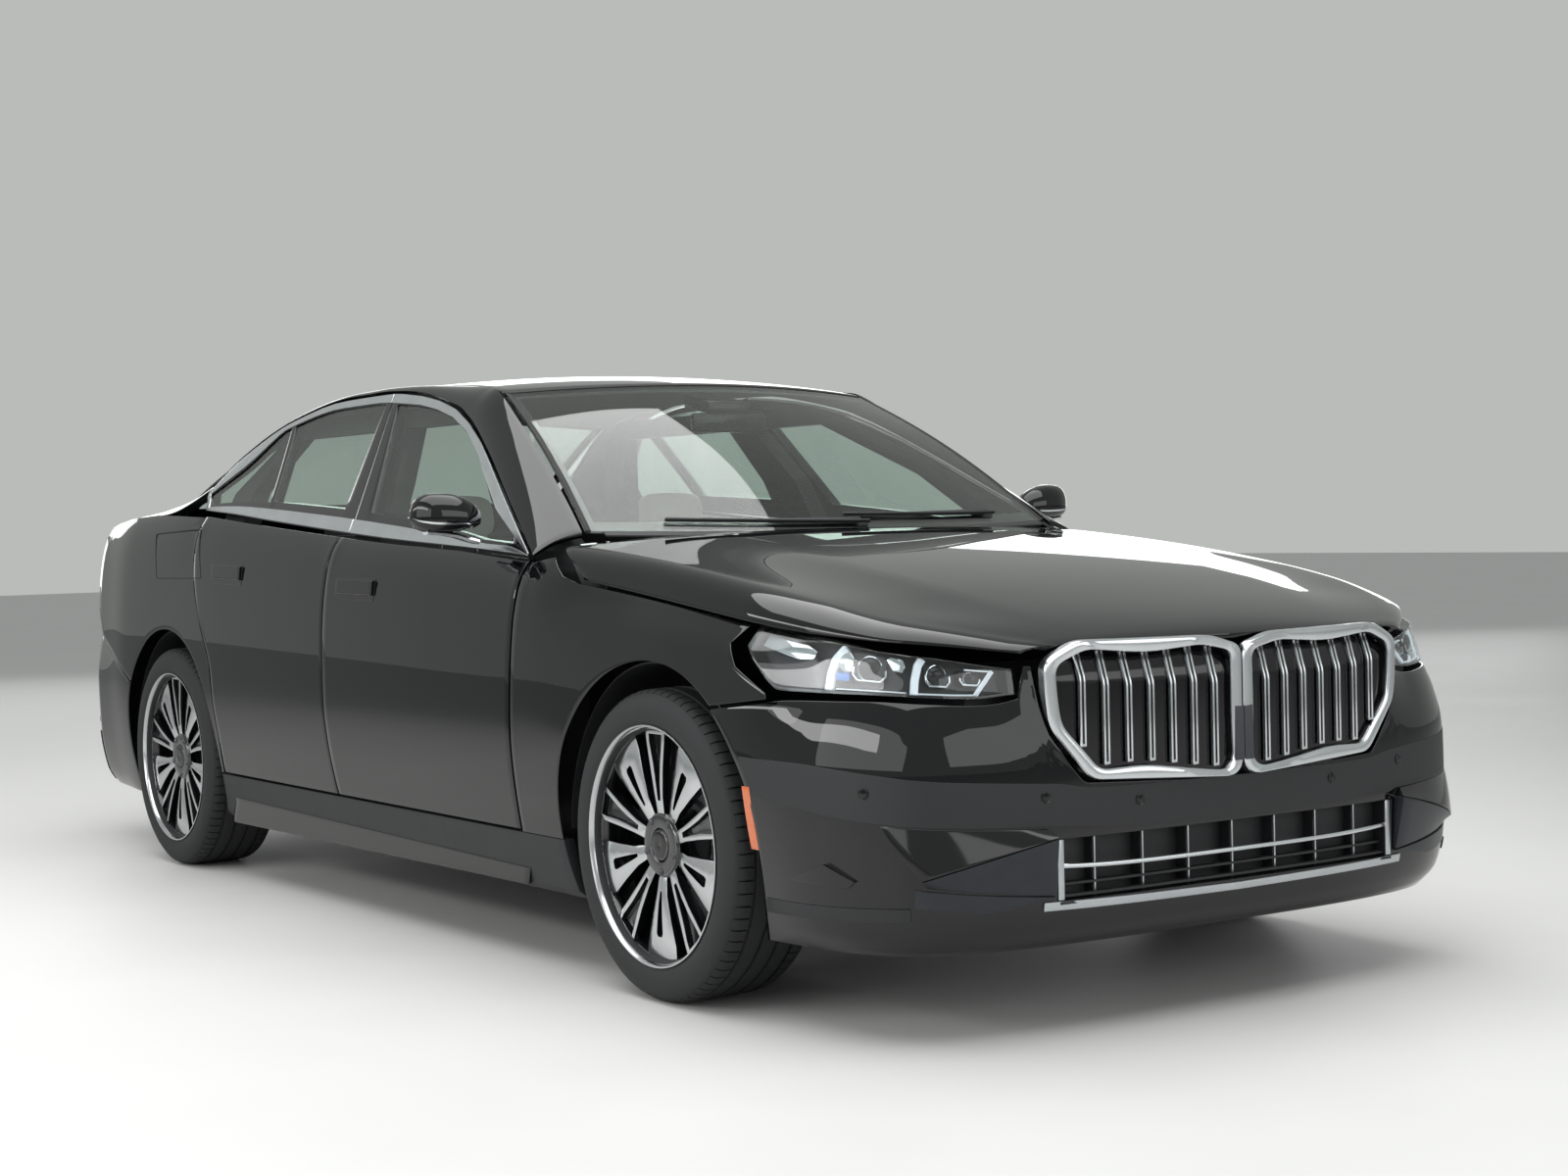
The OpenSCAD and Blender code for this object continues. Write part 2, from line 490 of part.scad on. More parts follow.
// Gooseneck arm from the hinge at the parcel shelf round the edge of the rear window to the lid
neck = [[1750, 1110], [1766, 1000], [1815, 957], [1900, 970], [1955, 1030], [1978, 1090]];
neck_x = 584;
neck_t = 20;
neck_r = 10.7;
module boot_neck() {
  translate([neck_x, 0, 0]) rotate([90, 0, 90]) linear_extrude(neck_t) for (k = [0 : len(neck) - 2]) hull() {
    translate(neck[k]) circle(r = neck_r, $fn = 20);
    translate(neck[k + 1]) circle(r = neck_r, $fn = 20);
  }
  translate([neck_x - 5, 1955, 1087]) cube([neck_t + 10, 50, 19]);
}

// Front bumper with its intake, wrapped from arch to arch
bumper_top = [[0, 502], [0.11, 517], [0.15, 521], [0.172, 523], [0.185, 541], [0.21, 592], [0.226, 626], [0.2365, 690],
  [0.2415, 765], [0.2515, 765], [0.264, 700], [0.33, 690], [0.45, 696], [0.6, 702], [0.8, 699], [0.87, 691],
  [0.94, 680], [1, 671]];
intake_low = 285;
intake_high = 412;
function arch_end_y(z) = front_y - sqrt(arch_r * arch_r - pow(z - hub_z, 2));
function nose_end(z) = 8 / 9 + (arch_end_y(z) + 2005) / 155 / 9;
bumper_t = [0, 0.055, 0.11, 0.15, 0.172, 0.185, 0.21, 0.226, 0.2365, 0.2415, 0.2515, 0.264, 0.3, 0.35, 0.41, 0.47, 0.53, 0.6, 0.67, 0.74,
  0.8, 0.87, 0.94, 1];
function bumper_z(t, f) = f < 5 ? [skirt_bottom + 3, 230, intake_low, intake_high, 470][f] :
  lerp(480, curve(bumper_top, t), (f - 4) / 4);
function bumper_pt(s, f) =
  let (t = abs(s), z = bumper_z(t, f), p = nose(t < 0.5 ? t : lerp(0.5, nose_end(z) - 0.003, (t - 0.5) * 2), z))
  [sign(s) * p[0], p[1], p[2]];
module front_bumper() {
  ts = concat([for (i = [len(bumper_t) - 1 : -1 : 1]) -bumper_t[i]], bumper_t);
  g = [for (t = ts) [for (f = [0 : 8]) bumper_pt(t, f)]];
  h = [for (t = ts) [for (f = [0 : 8]) bumper_pt(t, f)
    + (abs(t) < 0.45 ? [0, 18, 0] : abs(t) < 0.6 ? [-sign(t) * 14, 14, 0] : [-sign(t) * 18, 0, 0])]];
  color("#15171a") panel(h, g, [[len(bumper_t) - 6, len(bumper_t) + 4, 2, 3]]);
}

// Rear bumper
rear_top = [[0, 781], [0.42, 781], [0.44, 812], [0.62, 816], [0.72, 812]];
function tail_arch_y(z) = rear_y + sqrt(arch_r * arch_r - pow(z - hub_z, 2));
function tail_side_z(y) = curve([[1739, 584], [1920, 654], [2100, 724], [2168, 818]], y) - gap;
function rear_bumper_pt(s, f) =
  let (t = abs(s), low = skirt_bottom + 20, k = (t - 0.72) / 0.28,
    y_side = lerp(2178, 1742, k), top = t < 0.72 ? curve(rear_top, t) : tail_side_z(y_side),
    z = lerp(low, top, f / 6),
    arch = tail_arch_y(min(z, 584)) + 3, y = max(arch, lerp(tail(0.72, z)[1], arch, k)),
    p = t < 0.72 ? tail(t, z) : [side_x(y, z) + (tail(0.72, z)[0] - side_x(tail(0.72, z)[1], z)) * (1 - k), y, z])
  [sign(s) * p[0], p[1], p[2]];
module rear_bumper() {
  half = [0, 0.1, 0.2, 0.3, 0.38, 0.428, 0.442, 0.5, 0.56, 0.62, 0.67, 0.72, 0.745, 0.77, 0.84, 0.9, 0.95, 1];
  ts = concat([for (i = [len(half) - 1 : -1 : 1]) -half[i]], half);
  g = [for (t = ts) [for (f = [0 : 6]) rear_bumper_pt(t, f)]];
  h = [for (t = ts) [for (f = [0 : 6]) rear_bumper_pt(t, f)
    - (abs(t) < 0.5 ? [0, 18, 0] : abs(t) < 0.66 ? [sign(t) * 14, 14, 0] : [sign(t) * 18, 0, 0])]];
  color("#15171a") panel(g, h);
}

// Twin air grilles: a ring frame each side of the centre line with upright bars, and the intake below
ring_line = [[2, 528], [2, 787], [90, 811], [440, 815], [519, 777], [516, 700], [508, 640], [410, 527], [30, 507]];
ring_w = 32;
nose_bow = 3560;
ring_face = -2530;
ring_depth = 22;
module slab(line, y, depth) {
  translate([0, y, 0]) rotate([90, 0, 0]) linear_extrude(depth) polygon(line);
}
function shrink(line, d) =
  let (c = [266, 662]) [for (p = line) c + (p - c) * (1 - d / norm(p - c))];
// Layer bowed like the nose between two distances behind the front of the car
module bowed(front, back) {
  difference() {
    translate([0, ring_face + nose_bow + front, 450]) cylinder(r = nose_bow, h = 400, $fn = 360);
    translate([0, ring_face + nose_bow + back, 449]) cylinder(r = nose_bow, h = 402, $fn = 360);
  }
}
module ring_frame() {
  intersection() {
    bowed(0, ring_depth);
    difference() {
      slab(ring_line, -2400, 200);
      slab(shrink(ring_line, ring_w), -2399, 202);
    }
  }
}
bars = 7;
bar_pitch = 58;
module grille_bars() {
  for (k = [0 : bars - 1])
    let (x = 72 + k * bar_pitch)
    intersection() {
      bowed(6, ring_depth);
      slab(shrink(ring_line, ring_w + 0.3), -2400, 200);
      translate([x, -2560, 480]) cube([9, 200, 400]);
    }
}
// Intake: back plate, two bars and upright fins
intake_half = 450;
intake_y = -2475.1;
module intake() {
  h = intake_high - intake_low - 2;
  translate([-intake_half, intake_y + 8, intake_low + 1]) cube([2 * intake_half, 8, h]);
  for (z = [0.36, 0.7]) translate([-intake_half, intake_y, intake_low + z * h]) cube([2 * intake_half, 12, 9]);
  for (k = [-3 : 3]) translate([k * 128 - 4, intake_y, intake_low + 1]) cube([8, 12, h]);
}
module grilles() {
  both() {
    color("#b9bdc0") ring_frame();
    color("#c9ccce") grille_bars();
    color("#1b1c1e") intersection() {
      bowed(ring_depth + 0.3, 30);
      slab([[3, 536], [3, 762], [465, 762], [492, 735], [490, 658], [398, 548], [30, 524]], -2400, 200);
    }
  }
  color("#1b1c1e") intake();
}

// Lamp bodies in the corners
lamp_top = [[0.268, 764], [0.4, 788], [0.6, 808], [0.75, 827], [0.81, 834], [0.86, 843], [0.93, 853]];
lamp_low = [[0.268, 706], [0.33, 700], [0.45, 706], [0.6, 712], [0.75, 714], [0.835, 717], [0.88, 752], [0.93, 812]];
function lamp_pt(s, f) =
  let (t = lerp(0.268, 0.925, s), top = curve(lamp_top, t) - 4, low = curve(lamp_low, t) + 3)
  nose(t, lerp(low, top, f / 3));
module headlamps() {
  g = [for (s = steps(0, 1, 12)) [for (f = [0 : 3]) lamp_pt(s, f)]];
  h = [for (s = steps(0, 1, 12)) [for (f = [0 : 3]) lamp_pt(s, f) + [-60 * s, 60 * (1 - s), 0]]];
  color("#cfd6da") both() panel(h, g);
}
function tail_lamp_pt(s, f) =
  let (t = lerp(0.445, 0.76, s), low = lerp(822, 838, s), top = corner_low - seat_gap) tail(t, lerp(low, top, f / 2));
module tail_lamps() {
  g = [for (s = steps(0, 1, 8)) [for (f = [0 : 2]) tail_lamp_pt(s, f)]];
  h = [for (s = steps(0, 1, 8)) [for (f = [0 : 2]) tail_lamp_pt(s, f) - [60 * s, 60 * (1 - s), 0]]];
  color("#7c1216") both() panel(g, h);
}

module lid_lamps() {
  g = [for (w = steps(0.72, 0.985, 4)) [for (u = [0.76, 0.88]) boot_pt(w, u) + [0, 6, 0]]];
  color("#7c1216") both() panel(g, moved(g, [0, -5, 0]));
}

// Side skirts between the arches
function skirt_end(axle, z, side) = axle + side * sqrt(arch_r * arch_r - pow(hub_z - z, 2));
module side_skirts() {
  zs = [skirt_bottom, 205, 262, skirt_top - gap / 2];
  g = [for (f = steps(0, 1, 12)) [for (z = zs)
    let (y = lerp(skirt_end(front_y, z, 1), skirt_end(rear_y, z, -1), f)) side_pt(y, z) + [z < 200 ? -20 : 0, 0, 0]]];
  color("#1d1e20") both() panel(g, moved(g, [-70, 0, 0]));
}

// Wheel housings
liner_t = 4;
liner_x = 890;
front_rail_x = 490;
rear_rail_x = 640;
module liner(axle, inner, r) {
  translate([inner, axle, hub_z]) rotate([0, 90, 0]) rotate([0, 0, 90])
    rotate_extrude(angle = 180, $fn = 64)
      polygon([[0, 0], [r, 0], [r, liner_x - inner], [r - liner_t, liner_x - inner],
        [r - liner_t, liner_t], [0, liner_t]]);
}
module arch_liners() {
  color("#1b1c1e") both() {
    liner(front_y, front_rail_x, arch_r - 3.6);
    liner(rear_y, rear_rail_x, arch_r - 3);
  }
}

// Floor with tunnel, sills and boot floor
floor_z = 190;
floor_t = 14;
jack_x = 700;
jack_y = [-1020, 840];
jack_z = 150;
boot_z = 330;
boot_half = 600;
floor_half = ring_x - ring_t - seat_gap;
rail_top = 411.7;
module floor_pan() {
  color("#3a3c3f") {
    both() for (y = jack_y) translate([jack_x - 30, y - 30, jack_z]) cube([60, 60, floor_z - jack_z]);
    translate([-floor_half, -1090.7, floor_z]) cube([2 * floor_half, 2040.7, floor_t]);
    both() {
      translate([ring_x + seat_gap, -600, floor_z + floor_t]) cube([22, 1300, 116]);
      translate([boot_half + seat_gap, 967.8, 280]) cube([rear_rail_x - boot_half - 2 * seat_gap, 1448.8, rail_top - 280]);
    }
    translate([-95, -1000, floor_z + floor_t + 0.3]) cube([190, 1700, 120]);
    translate([-boot_half, 1512.3, boot_z]) cube([2 * boot_half, 925, floor_t]);
    translate([-boot_half, 1366.6, 396]) cube([2 * boot_half, 134, floor_t]);
    translate([-boot_half, 1500.9, boot_z]) cube([2 * boot_half, 11, 80]);
  }
}
cowl_half = 680;
shelf_half = 575;
shelf_z = 1041.3;
// Upright walls: behind the front wheels, under the rear seat, parcel shelf and cowl tray
module bulkheads() {
  color("#2b2d30") {
    translate([-730, -1108, floor_z]) cube([1460, 17, 790]);
    translate([-700, 950.5, floor_z]) cube([1400, 17, 220]);
    translate([-620, 1368.5, 415]) rotate([-seat_lean, 0, 0]) cube([1240, 14, 640]);
    translate([-shelf_half, 1495, shelf_z]) cube([2 * shelf_half, 402, 14]);
    translate([-150, 1885, shelf_z]) cube([300, 12, 98]);
    both() translate([neck_x - 30, neck[0][0] - 15, shelf_z]) cube([30 - seat_gap, 30, 80]);
    translate([-cowl_half, -1175, 975]) cube([2 * cowl_half, 68, 20]);
    translate([-150, -1150, 985]) cube([300, 10, 54.4]);
    both() translate([bonnet_arm_x, -1112, 987.7]) cube([8 - seat_gap, 50, 22]);
  }
}
module battery_pack() {
  color("#5b5e62") translate([-640, -1010, 142]) cube([1280, 1900, 47.7]);
}
module drive_units() {
  color("#6b6e72") {
    translate([-400, -2300, 275 + seat_gap]) cube([800, 900, 420]);
    translate([-260, 1275 + seat_gap, 205]) cube([520, 200 - seat_gap, 191 - seat_gap]);
  }
}

// Front and rear frames with the arms that carry the wheels
steer_x = 755;
disc_face = track_half - 30;
module arm(a, b, w, h) {
  v = b - a;
  translate(a) rotate([0, 0, atan2(v[1], v[0])]) rotate([0, -atan2(v[2], norm([v[0], v[1]])), 0])
    translate([0, -w / 2, -h / 2]) cube([norm(v), w, h]);
}
module front_frame() {
  translate([-420, front_y - 60, 215]) cube([840, 120, 60]);
  translate([-420, front_y + 150, 215]) cube([840, 80, 60]);
  both() {
    translate([350, front_y + 55, 215]) cube([60, 100, 60]);
    arm([405, front_y - 20, 240], [steer_x - 8, front_y, 190], 44, 24);
    arm([405, front_y + 190, 240], [steer_x - 30, front_y + 6, 190], 36, 24);
    translate([steer_x, front_y, 176]) cylinder(r = 14, h = hub_z - 122 - seat_gap - 176);
    translate([steer_x, front_y, 203]) cylinder(r = 9 - seat_gap, h = 50);
    translate([430, front_y + 160, 215]) cube([50, 60, rail_low_z - 215 - seat_gap]);
  }
}
module rear_frame() {
  translate([-520, rear_y - 190, 215]) cube([1040, 70, 60]);
  translate([-520, rear_y + 130, 215]) cube([1040, 70, 60]);
  both() {
    translate([460, rear_y - 125, 215]) cube([60, 260, 60]);
    arm([500, rear_y - 150, 240], [720, rear_y - 30, 225], 40, 24);
    arm([500, rear_y + 150, 240], [720, rear_y + 30, 225], 40, 24);
    translate([690, rear_y - 45, 210]) cube([40, 90, 210]);
    translate([690, rear_y, hub_z]) rotate([0, 90, 0]) cylinder(r = 50, h = disc_face - 690 - seat_gap);
  }
}
module axle_frames() {
  color("#2b2d30") {
    front_frame();
    rear_frame();
  }
}

// Seats
seat_lean = 12;
module seat(w) {
  hull() {
    translate([-w / 2 + 60, -230, 60]) sphere(r = 60, $fn = 12);
    translate([w / 2 - 60, -230, 60]) sphere(r = 60, $fn = 12);
    translate([-w / 2 + 50, 190, 40]) sphere(r = 50, $fn = 12);
    translate([w / 2 - 50, 190, 40]) sphere(r = 50, $fn = 12);
  }
}
module seat_back(w, h) {
  hull() {
    translate([-w / 2 + 55, 0, 55]) sphere(r = 55, $fn = 12);
    translate([w / 2 - 55, 0, 55]) sphere(r = 55, $fn = 12);
    translate([-w / 2 + 70, h * 0.36, h - 60]) sphere(r = 45, $fn = 12);
    translate([w / 2 - 70, h * 0.36, h - 60]) sphere(r = 45, $fn = 12);
  }
}
module front_seats() {
  color("#8c8d8b") for (s = [-1, 1]) translate([s * 375, -80, 0]) {
    translate([0, 0, 330]) seat(500);
    translate([0, 246.6, 400]) seat_back(500, 620);
    translate([-110, 450, 1030]) cube([220, 70, 150]);
    for (x = [-60, 60]) translate([x, 475, 990]) cylinder(r = 6, h = 60, $fn = 16);
    translate([-180, -200, 204.3]) cube([360, 400, 117]);
  }
}
module rear_seat() {
  color("#8c8d8b") {
    translate([-620, 935, 412]) cube([1240, 420, 110]);
    translate([-620, 1330, 523]) rotate([-seat_lean, 0, 0]) cube([1240, 60, 470]);
  }
}
module dashboard() {
  color("#3b3c3e") translate([-700, 0, 0]) rotate([90, 0, 90])
    linear_extrude(1400) polygon([[-1090.7, 700], [-1090.7, 985], [-900, 1000], [-640, 930], [-620, 800], [-700, 640]]);
}
wheel_centre = [375, -480, 880];
wheel_tilt = 25;
column_l = 148.3;
module steering_wheel() {
  color("#202224") translate(wheel_centre) rotate([wheel_tilt - 90, 0, 0]) {
    rotate_extrude($fn = 64) translate([178, 0]) circle(r = 14, $fn = 24);
    translate([0, 0, -20]) cylinder(r = 70, h = 40);
    translate([-170, -18, -8]) cube([340, 36, 16]);
    translate([0, 0, -column_l]) cylinder(r = 28, h = column_l - 19);
  }
}

// Wheels
module tyre_shell() {
  w = tyre_w / 2;
  color("#17181a") rotate([0, 90, 0]) rotate_extrude($fn = 96)
    polygon([[rim_r - 14, -w + 12], [rim_r + 8, -w + 4], [rim_r + 40, -w], [tyre_r - 26, -w + 6], [tyre_r - 6, -w + 22],
      [tyre_r, -w + 45], [tyre_r, w - 45], [tyre_r - 6, w - 22], [tyre_r - 26, w - 6], [rim_r + 40, w],
      [rim_r + 8, w - 4], [rim_r - 14, w - 12]]);
}
spoke_end = rim_r - 26;
module twin_spoke() {
  difference() {
    translate([0, 0, 61.3]) linear_extrude(34.4) polygon([[70, -15], [spoke_end, -38], [spoke_end, 38], [70, 15]]);
    translate([0, 0, 84.6]) linear_extrude(20) polygon([[110, -9], [228, -25], [228, 25], [110, 9]]);
  }
}
module blade() {
  translate([0, 0, 63.1]) linear_extrude(25.3) difference() {
    polygon([[74, -24], [150, -52], [spoke_end - 22, -98], [spoke_end - 2, -50], [spoke_end, 0], [spoke_end - 2, 50],
      [spoke_end - 22, 98], [150, 52], [74, 24]]);
    polygon([[112, -9], [208, -22], [196, 22], [112, 9]]);
  }
}
module rim_shell() {
  w = tyre_w / 2;
  color("#9ea2a6") rotate([0, 90, 0]) {
    rotate_extrude($fn = 96)
      polygon([[rim_r - 30, -w + 14], [rim_r - 14.3, -w + 14], [rim_r - 14.3, w - 12], [rim_r - 2, w - 7.2], [rim_r - 2, w - 3],
        [rim_r - 14, w - 3], [rim_r - 24, w - 12], [rim_r - 30, w - 40]]);
    translate([0, 0, 20]) difference() {
      cylinder(r = 84, h = 70);
      for (k = [0 : 4]) rotate(k * 72) translate([bolt_circle / 2, 0, -1]) cylinder(r = 7, h = 80);
    }
    for (k = [0 : 4]) rotate(k * 72) {
      twin_spoke();
      rotate(36) blade();
    }
    translate([0, 0, -30]) cylinder(r = disc_r, h = 28);
    translate([0, 0, -3]) cylinder(r = 74, h = 24);
  }
}
module at_wheel(x, y) { translate([x, y, hub_z]) children(); }
module tyre_front_left() { at_wheel(track_half, front_y) tyre_shell(); }
module tyre_front_right() { mirror([1, 0, 0]) tyre_front_left(); }
module tyre_rear_left() { at_wheel(track_half, rear_y) tyre_shell(); }
module tyre_rear_right() { mirror([1, 0, 0]) tyre_rear_left(); }
module rim_front_left() { at_wheel(track_half, front_y) rim_shell(); }
module rim_front_right() { mirror([1, 0, 0]) rim_front_left(); }
module rim_rear_left() { at_wheel(track_half, rear_y) rim_shell(); }
module rim_rear_right() { mirror([1, 0, 0]) rim_rear_left(); }

// Steered knuckles: wheel bearing, upright and brake calliper
module calliper() {
  difference() {
    translate([-75, -62, 0]) cube([98, 124, 82]);
    translate([-30 - seat_gap, -80, -30]) cube([28 + 2 * seat_gap, 160, 88]);
  }
}
module knuckle_left() {
  color("#55585c") at_wheel(0, front_y) {
    translate([695, 0, 0]) rotate([0, 90, 0]) cylinder(r = 48, h = disc_face - 695 - seat_gap);
    translate([705, -30, -96]) cube([36, 60, 240]);
    difference() {
      translate([705, -18, -122]) cube([64, 36, 30]);
      translate([steer_x, 0, -160]) cylinder(r = 9, h = 90);
    }
    translate([track_half, 0, 0]) rotate([-72, 0, 0]) translate([0, 0, 128]) calliper();
  }
}
module knuckle_right() { mirror([1, 0, 0]) knuckle_left(); }

floor_pan();
battery_pack();
drive_units();
side_frames();
body_sides();
roof_panel();
front_fenders();
front_bumper();
rear_bumper();
grilles();
headlamps();
tail_lamps();
windscreen();
rear_window();
side_skirts();
arch_liners();
bulkheads();
front_seats();
rear_seat();
dashboard();
steering_wheel();
axle_frames();
bonnet();
boot_lid();
lid_lamps();
door_front_right();
door_front_left();
door_rear_right();
door_rear_left();
glass_front_right();
glass_front_left();
glass_rear_right();
glass_rear_left();
mirror_right();
mirror_left();
tyre_front_right();
tyre_front_left();
tyre_rear_right();
tyre_rear_left();
rim_front_right();
rim_front_left();
rim_rear_right();
rim_rear_left();
knuckle_right();
knuckle_left();
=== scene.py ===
"""Looks of a large four-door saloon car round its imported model. Millimetres in the shapes, metres in the meshes."""

import math

import bmesh
import bpy
import numpy as np
from mathutils import Matrix, Vector


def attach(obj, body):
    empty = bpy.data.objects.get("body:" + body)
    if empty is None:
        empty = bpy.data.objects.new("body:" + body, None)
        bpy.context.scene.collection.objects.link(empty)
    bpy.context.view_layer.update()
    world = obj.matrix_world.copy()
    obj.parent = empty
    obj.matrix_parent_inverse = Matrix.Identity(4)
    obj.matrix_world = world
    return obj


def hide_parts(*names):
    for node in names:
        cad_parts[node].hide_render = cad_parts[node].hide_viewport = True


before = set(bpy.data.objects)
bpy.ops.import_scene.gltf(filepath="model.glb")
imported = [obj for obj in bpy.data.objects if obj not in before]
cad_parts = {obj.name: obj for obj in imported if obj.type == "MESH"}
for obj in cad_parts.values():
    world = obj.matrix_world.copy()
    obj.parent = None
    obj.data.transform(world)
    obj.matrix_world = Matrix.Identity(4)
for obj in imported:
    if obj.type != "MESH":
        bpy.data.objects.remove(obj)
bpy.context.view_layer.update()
MM = 0.001

# Camera
EYE = (-3.714, -6.2485, 1.0714)
YAW, PITCH, ROLL = -0.5986, -0.0276, -0.0233
LENS = 55.83


def set_camera():
    ahead = Vector((-math.sin(YAW) * math.cos(PITCH), math.cos(YAW) * math.cos(PITCH), math.sin(PITCH)))
    side = Vector((math.cos(YAW), math.sin(YAW), 0))
    up = side.cross(ahead)
    right = side * math.cos(ROLL) + up * math.sin(ROLL)
    top = up * math.cos(ROLL) - side * math.sin(ROLL)
    data = bpy.data.cameras.new("camera")
    data.sensor_width, data.lens = 36, LENS
    data.clip_start, data.clip_end = 0.1, 200
    cam = bpy.data.objects.new("camera", data)
    cam.matrix_world = Matrix(
        (
            (right.x, top.x, -ahead.x, EYE[0]), (right.y, top.y, -ahead.y, EYE[1]),
            (right.z, top.z, -ahead.z, EYE[2]), (0, 0, 0, 1)
        )
    )
    bpy.context.scene.collection.objects.link(cam)
    bpy.context.scene.camera = cam


# Materials
def colour(text):
    """sRGB hex to linear RGBA."""
    parts = [int(text[i : i + 2], 16) / 255 for i in (1, 3, 5)]
    return [c / 12.92 if c <= 0.04045 else ((c + 0.055) / 1.055) ** 2.4 for c in parts] + [1]


def add(tree, kind, values=None, links=None, **settings):
    """One node with its settings, socket values and incoming links."""
    made = tree.nodes.new(kind)
    for key, value in settings.items():
        setattr(made, key, value)
    for key, value in (values or {}).items():
        made.inputs[key].default_value = value
    for key, source in (links or {}).items():
        tree.links.new(source, made.inputs[key])
    return made


def surface(name, dark, light, patch, rough=(0.4, 0.5), grain=None, centre=None, glow=None, **sockets):
    """A shader whose colour and roughness drift between two values over patches of a real size in mm.
    grain is (kind, size in mm, strength, depth in mm) of the bump; centre turns rings about a point on the X axis."""
    mat = bpy.data.materials.new(name)
    mat.use_nodes = True
    tree = mat.node_tree
    shader = tree.nodes["Principled BSDF"]
    where = add(tree, "ShaderNodeTexCoord").outputs["Object"]
    if centre:
        where = add(
            tree, "ShaderNodeMapping", {"Location": [-c for c in centre]}, {"Vector": where}
        ).outputs[0]
    drift = add(
        tree, "ShaderNodeTexNoise", {"Scale": 1000 / patch, "Detail": 3.0}, {"Vector": where}
    ).outputs["Fac"]
    tint = add(tree, "ShaderNodeMix", {6: colour(dark), 7: colour(light)}, {0: drift}, data_type="RGBA")
    tree.links.new(tint.outputs[2], shader.inputs["Base Color"])
    gloss = add(tree, "ShaderNodeMapRange", {"To Min": rough[0], "To Max": rough[1]}, {"Value": drift})
    tree.links.new(gloss.outputs[0], shader.inputs["Roughness"])
    if grain:
        kind, size, strength, depth = grain
        if kind == "noise":
            height = add(
                tree, "ShaderNodeTexNoise", {"Scale": 1000 / size, "Detail": 2.0}, {"Vector": where}
            ).outputs["Fac"]
        elif kind == "cells":
            height = add(
                tree, "ShaderNodeTexVoronoi", {"Scale": 1000 / size}, {"Vector": where}, feature="SMOOTH_F1"
            ).outputs["Distance"]
        elif kind == "rings":
            height = add(
                tree, "ShaderNodeTexWave", {"Scale": 314 / size, "Distortion": 0.0}, {"Vector": where},
                wave_type="RINGS", rings_direction="X",
            ).outputs["Fac"]
        else:
            height = add(
                tree, "ShaderNodeTexWave", {"Scale": 314 / size, "Distortion": 0.6, "Detail": 1.0},
                {"Vector": where},
                bands_direction=kind,
            ).outputs["Fac"]
        bump = add(tree, "ShaderNodeBump", {"Strength": strength, "Distance": depth * MM}, {"Height": height})
        tree.links.new(bump.outputs[0], shader.inputs["Normal"])
    for key, value in sockets.items():
        shader.inputs[key.replace("_", " ").title().replace("Ior", "IOR")].default_value = value
    if glow:
        shader.inputs["Emission Color"].default_value = colour(glow[0])
        shader.inputs["Emission Strength"].default_value = glow[1]
    return mat


def window(name, tint):
    """Glass: Fresnel gloss over a tinted see-through sheet, so that the cabin behind it keeps its light."""
    mat = bpy.data.materials.new(name)
    mat.use_nodes = True
    tree = mat.node_tree
    shader = tree.nodes["Principled BSDF"]
    where = add(tree, "ShaderNodeTexCoord").outputs["Object"]
    haze = add(tree, "ShaderNodeTexNoise", {"Scale": 4.0, "Detail": 2.0}, {"Vector": where}).outputs["Fac"]
    film = add(tree, "ShaderNodeMapRange", {"To Min": 0.0, "To Max": 0.012}, {"Value": haze})
    shader.inputs["Base Color"].default_value = colour(tint)
    shader.inputs["Transmission Weight"].default_value = 1.0
    shader.inputs["IOR"].default_value = 1.5
    tree.links.new(film.outputs[0], shader.inputs["Roughness"])
    through = add(tree, "ShaderNodeBsdfTransparent", {"Color": colour(tint)})
    shine = add(tree, "ShaderNodeBsdfGlossy", {"Color": (1, 1, 1, 1)}, {"Roughness": film.outputs[0]})
    edge = add(tree, "ShaderNodeFresnel", {"IOR": 1.52})
    behind = add(tree, "ShaderNodeNewGeometry").outputs["Backfacing"]
    before = add(tree, "ShaderNodeMath", {0: 1.0}, {1: behind}, operation="SUBTRACT").outputs[0]
    gloss = add(
        tree, "ShaderNodeMath", None, {0: edge.outputs[0], 1: before}, operation="MULTIPLY"
    ).outputs[0]
    pane = add(tree, "ShaderNodeMixShader", None, {0: gloss, 1: through.outputs[0], 2: shine.outputs[0]})
    both_ways = add(tree, "ShaderNodeMixShader", {0: 0.97}, {1: shader.outputs[0], 2: pane.outputs[0]})
    tree.links.new(both_ways.outputs[0], tree.nodes["Material Output"].inputs["Surface"])
    return mat


# Baked two-layer car enamel: black base under a clear coat, mirror gloss with a trace of orange peel
ENAMEL = dict(coat_weight=1.0, coat_roughness=0.015, coat_ior=1.5, specular_ior_level=0.0)
PAINT = surface("black_enamel", "#040406", "#08090c", 300, (0.45, 0.55), ("noise", 14, 0.03, 0.1), **ENAMEL)
# Electro-dipped and sprayed inner sheet steel: the same black without the polish
INNER = surface("dipped_sheet_steel", "#0d0e10", "#16181b", 120, (0.45, 0.6), ("noise", 6, 0.15, 0.1))
# Satin anodised aluminium strip, drawn lengthwise: pale, soft streaked sheen
ANODISED = surface(
    "anodised_aluminium", "#c4c8cc", "#d9dcdf", 90, (0.2, 0.28), ("Y", 1.2, 0.05, 0.03), metallic=1.0
)
# Satin chrome plated ABS: bright and smooth with a faint cast waviness
CHROME = surface(
    "satin_chrome_on_abs", "#c2c6ca", "#dcdfe2", 160, (0.16, 0.24), ("noise", 30, 0.04, 0.2), metallic=1.0
)
# Piano-black ABS, polished mould: deep gloss, very slight haze
PIANO = surface("piano_black_abs", "#060607", "#0b0b0d", 200, (0.06, 0.12), ("noise", 20, 0.03, 0.1), ior=1.5)
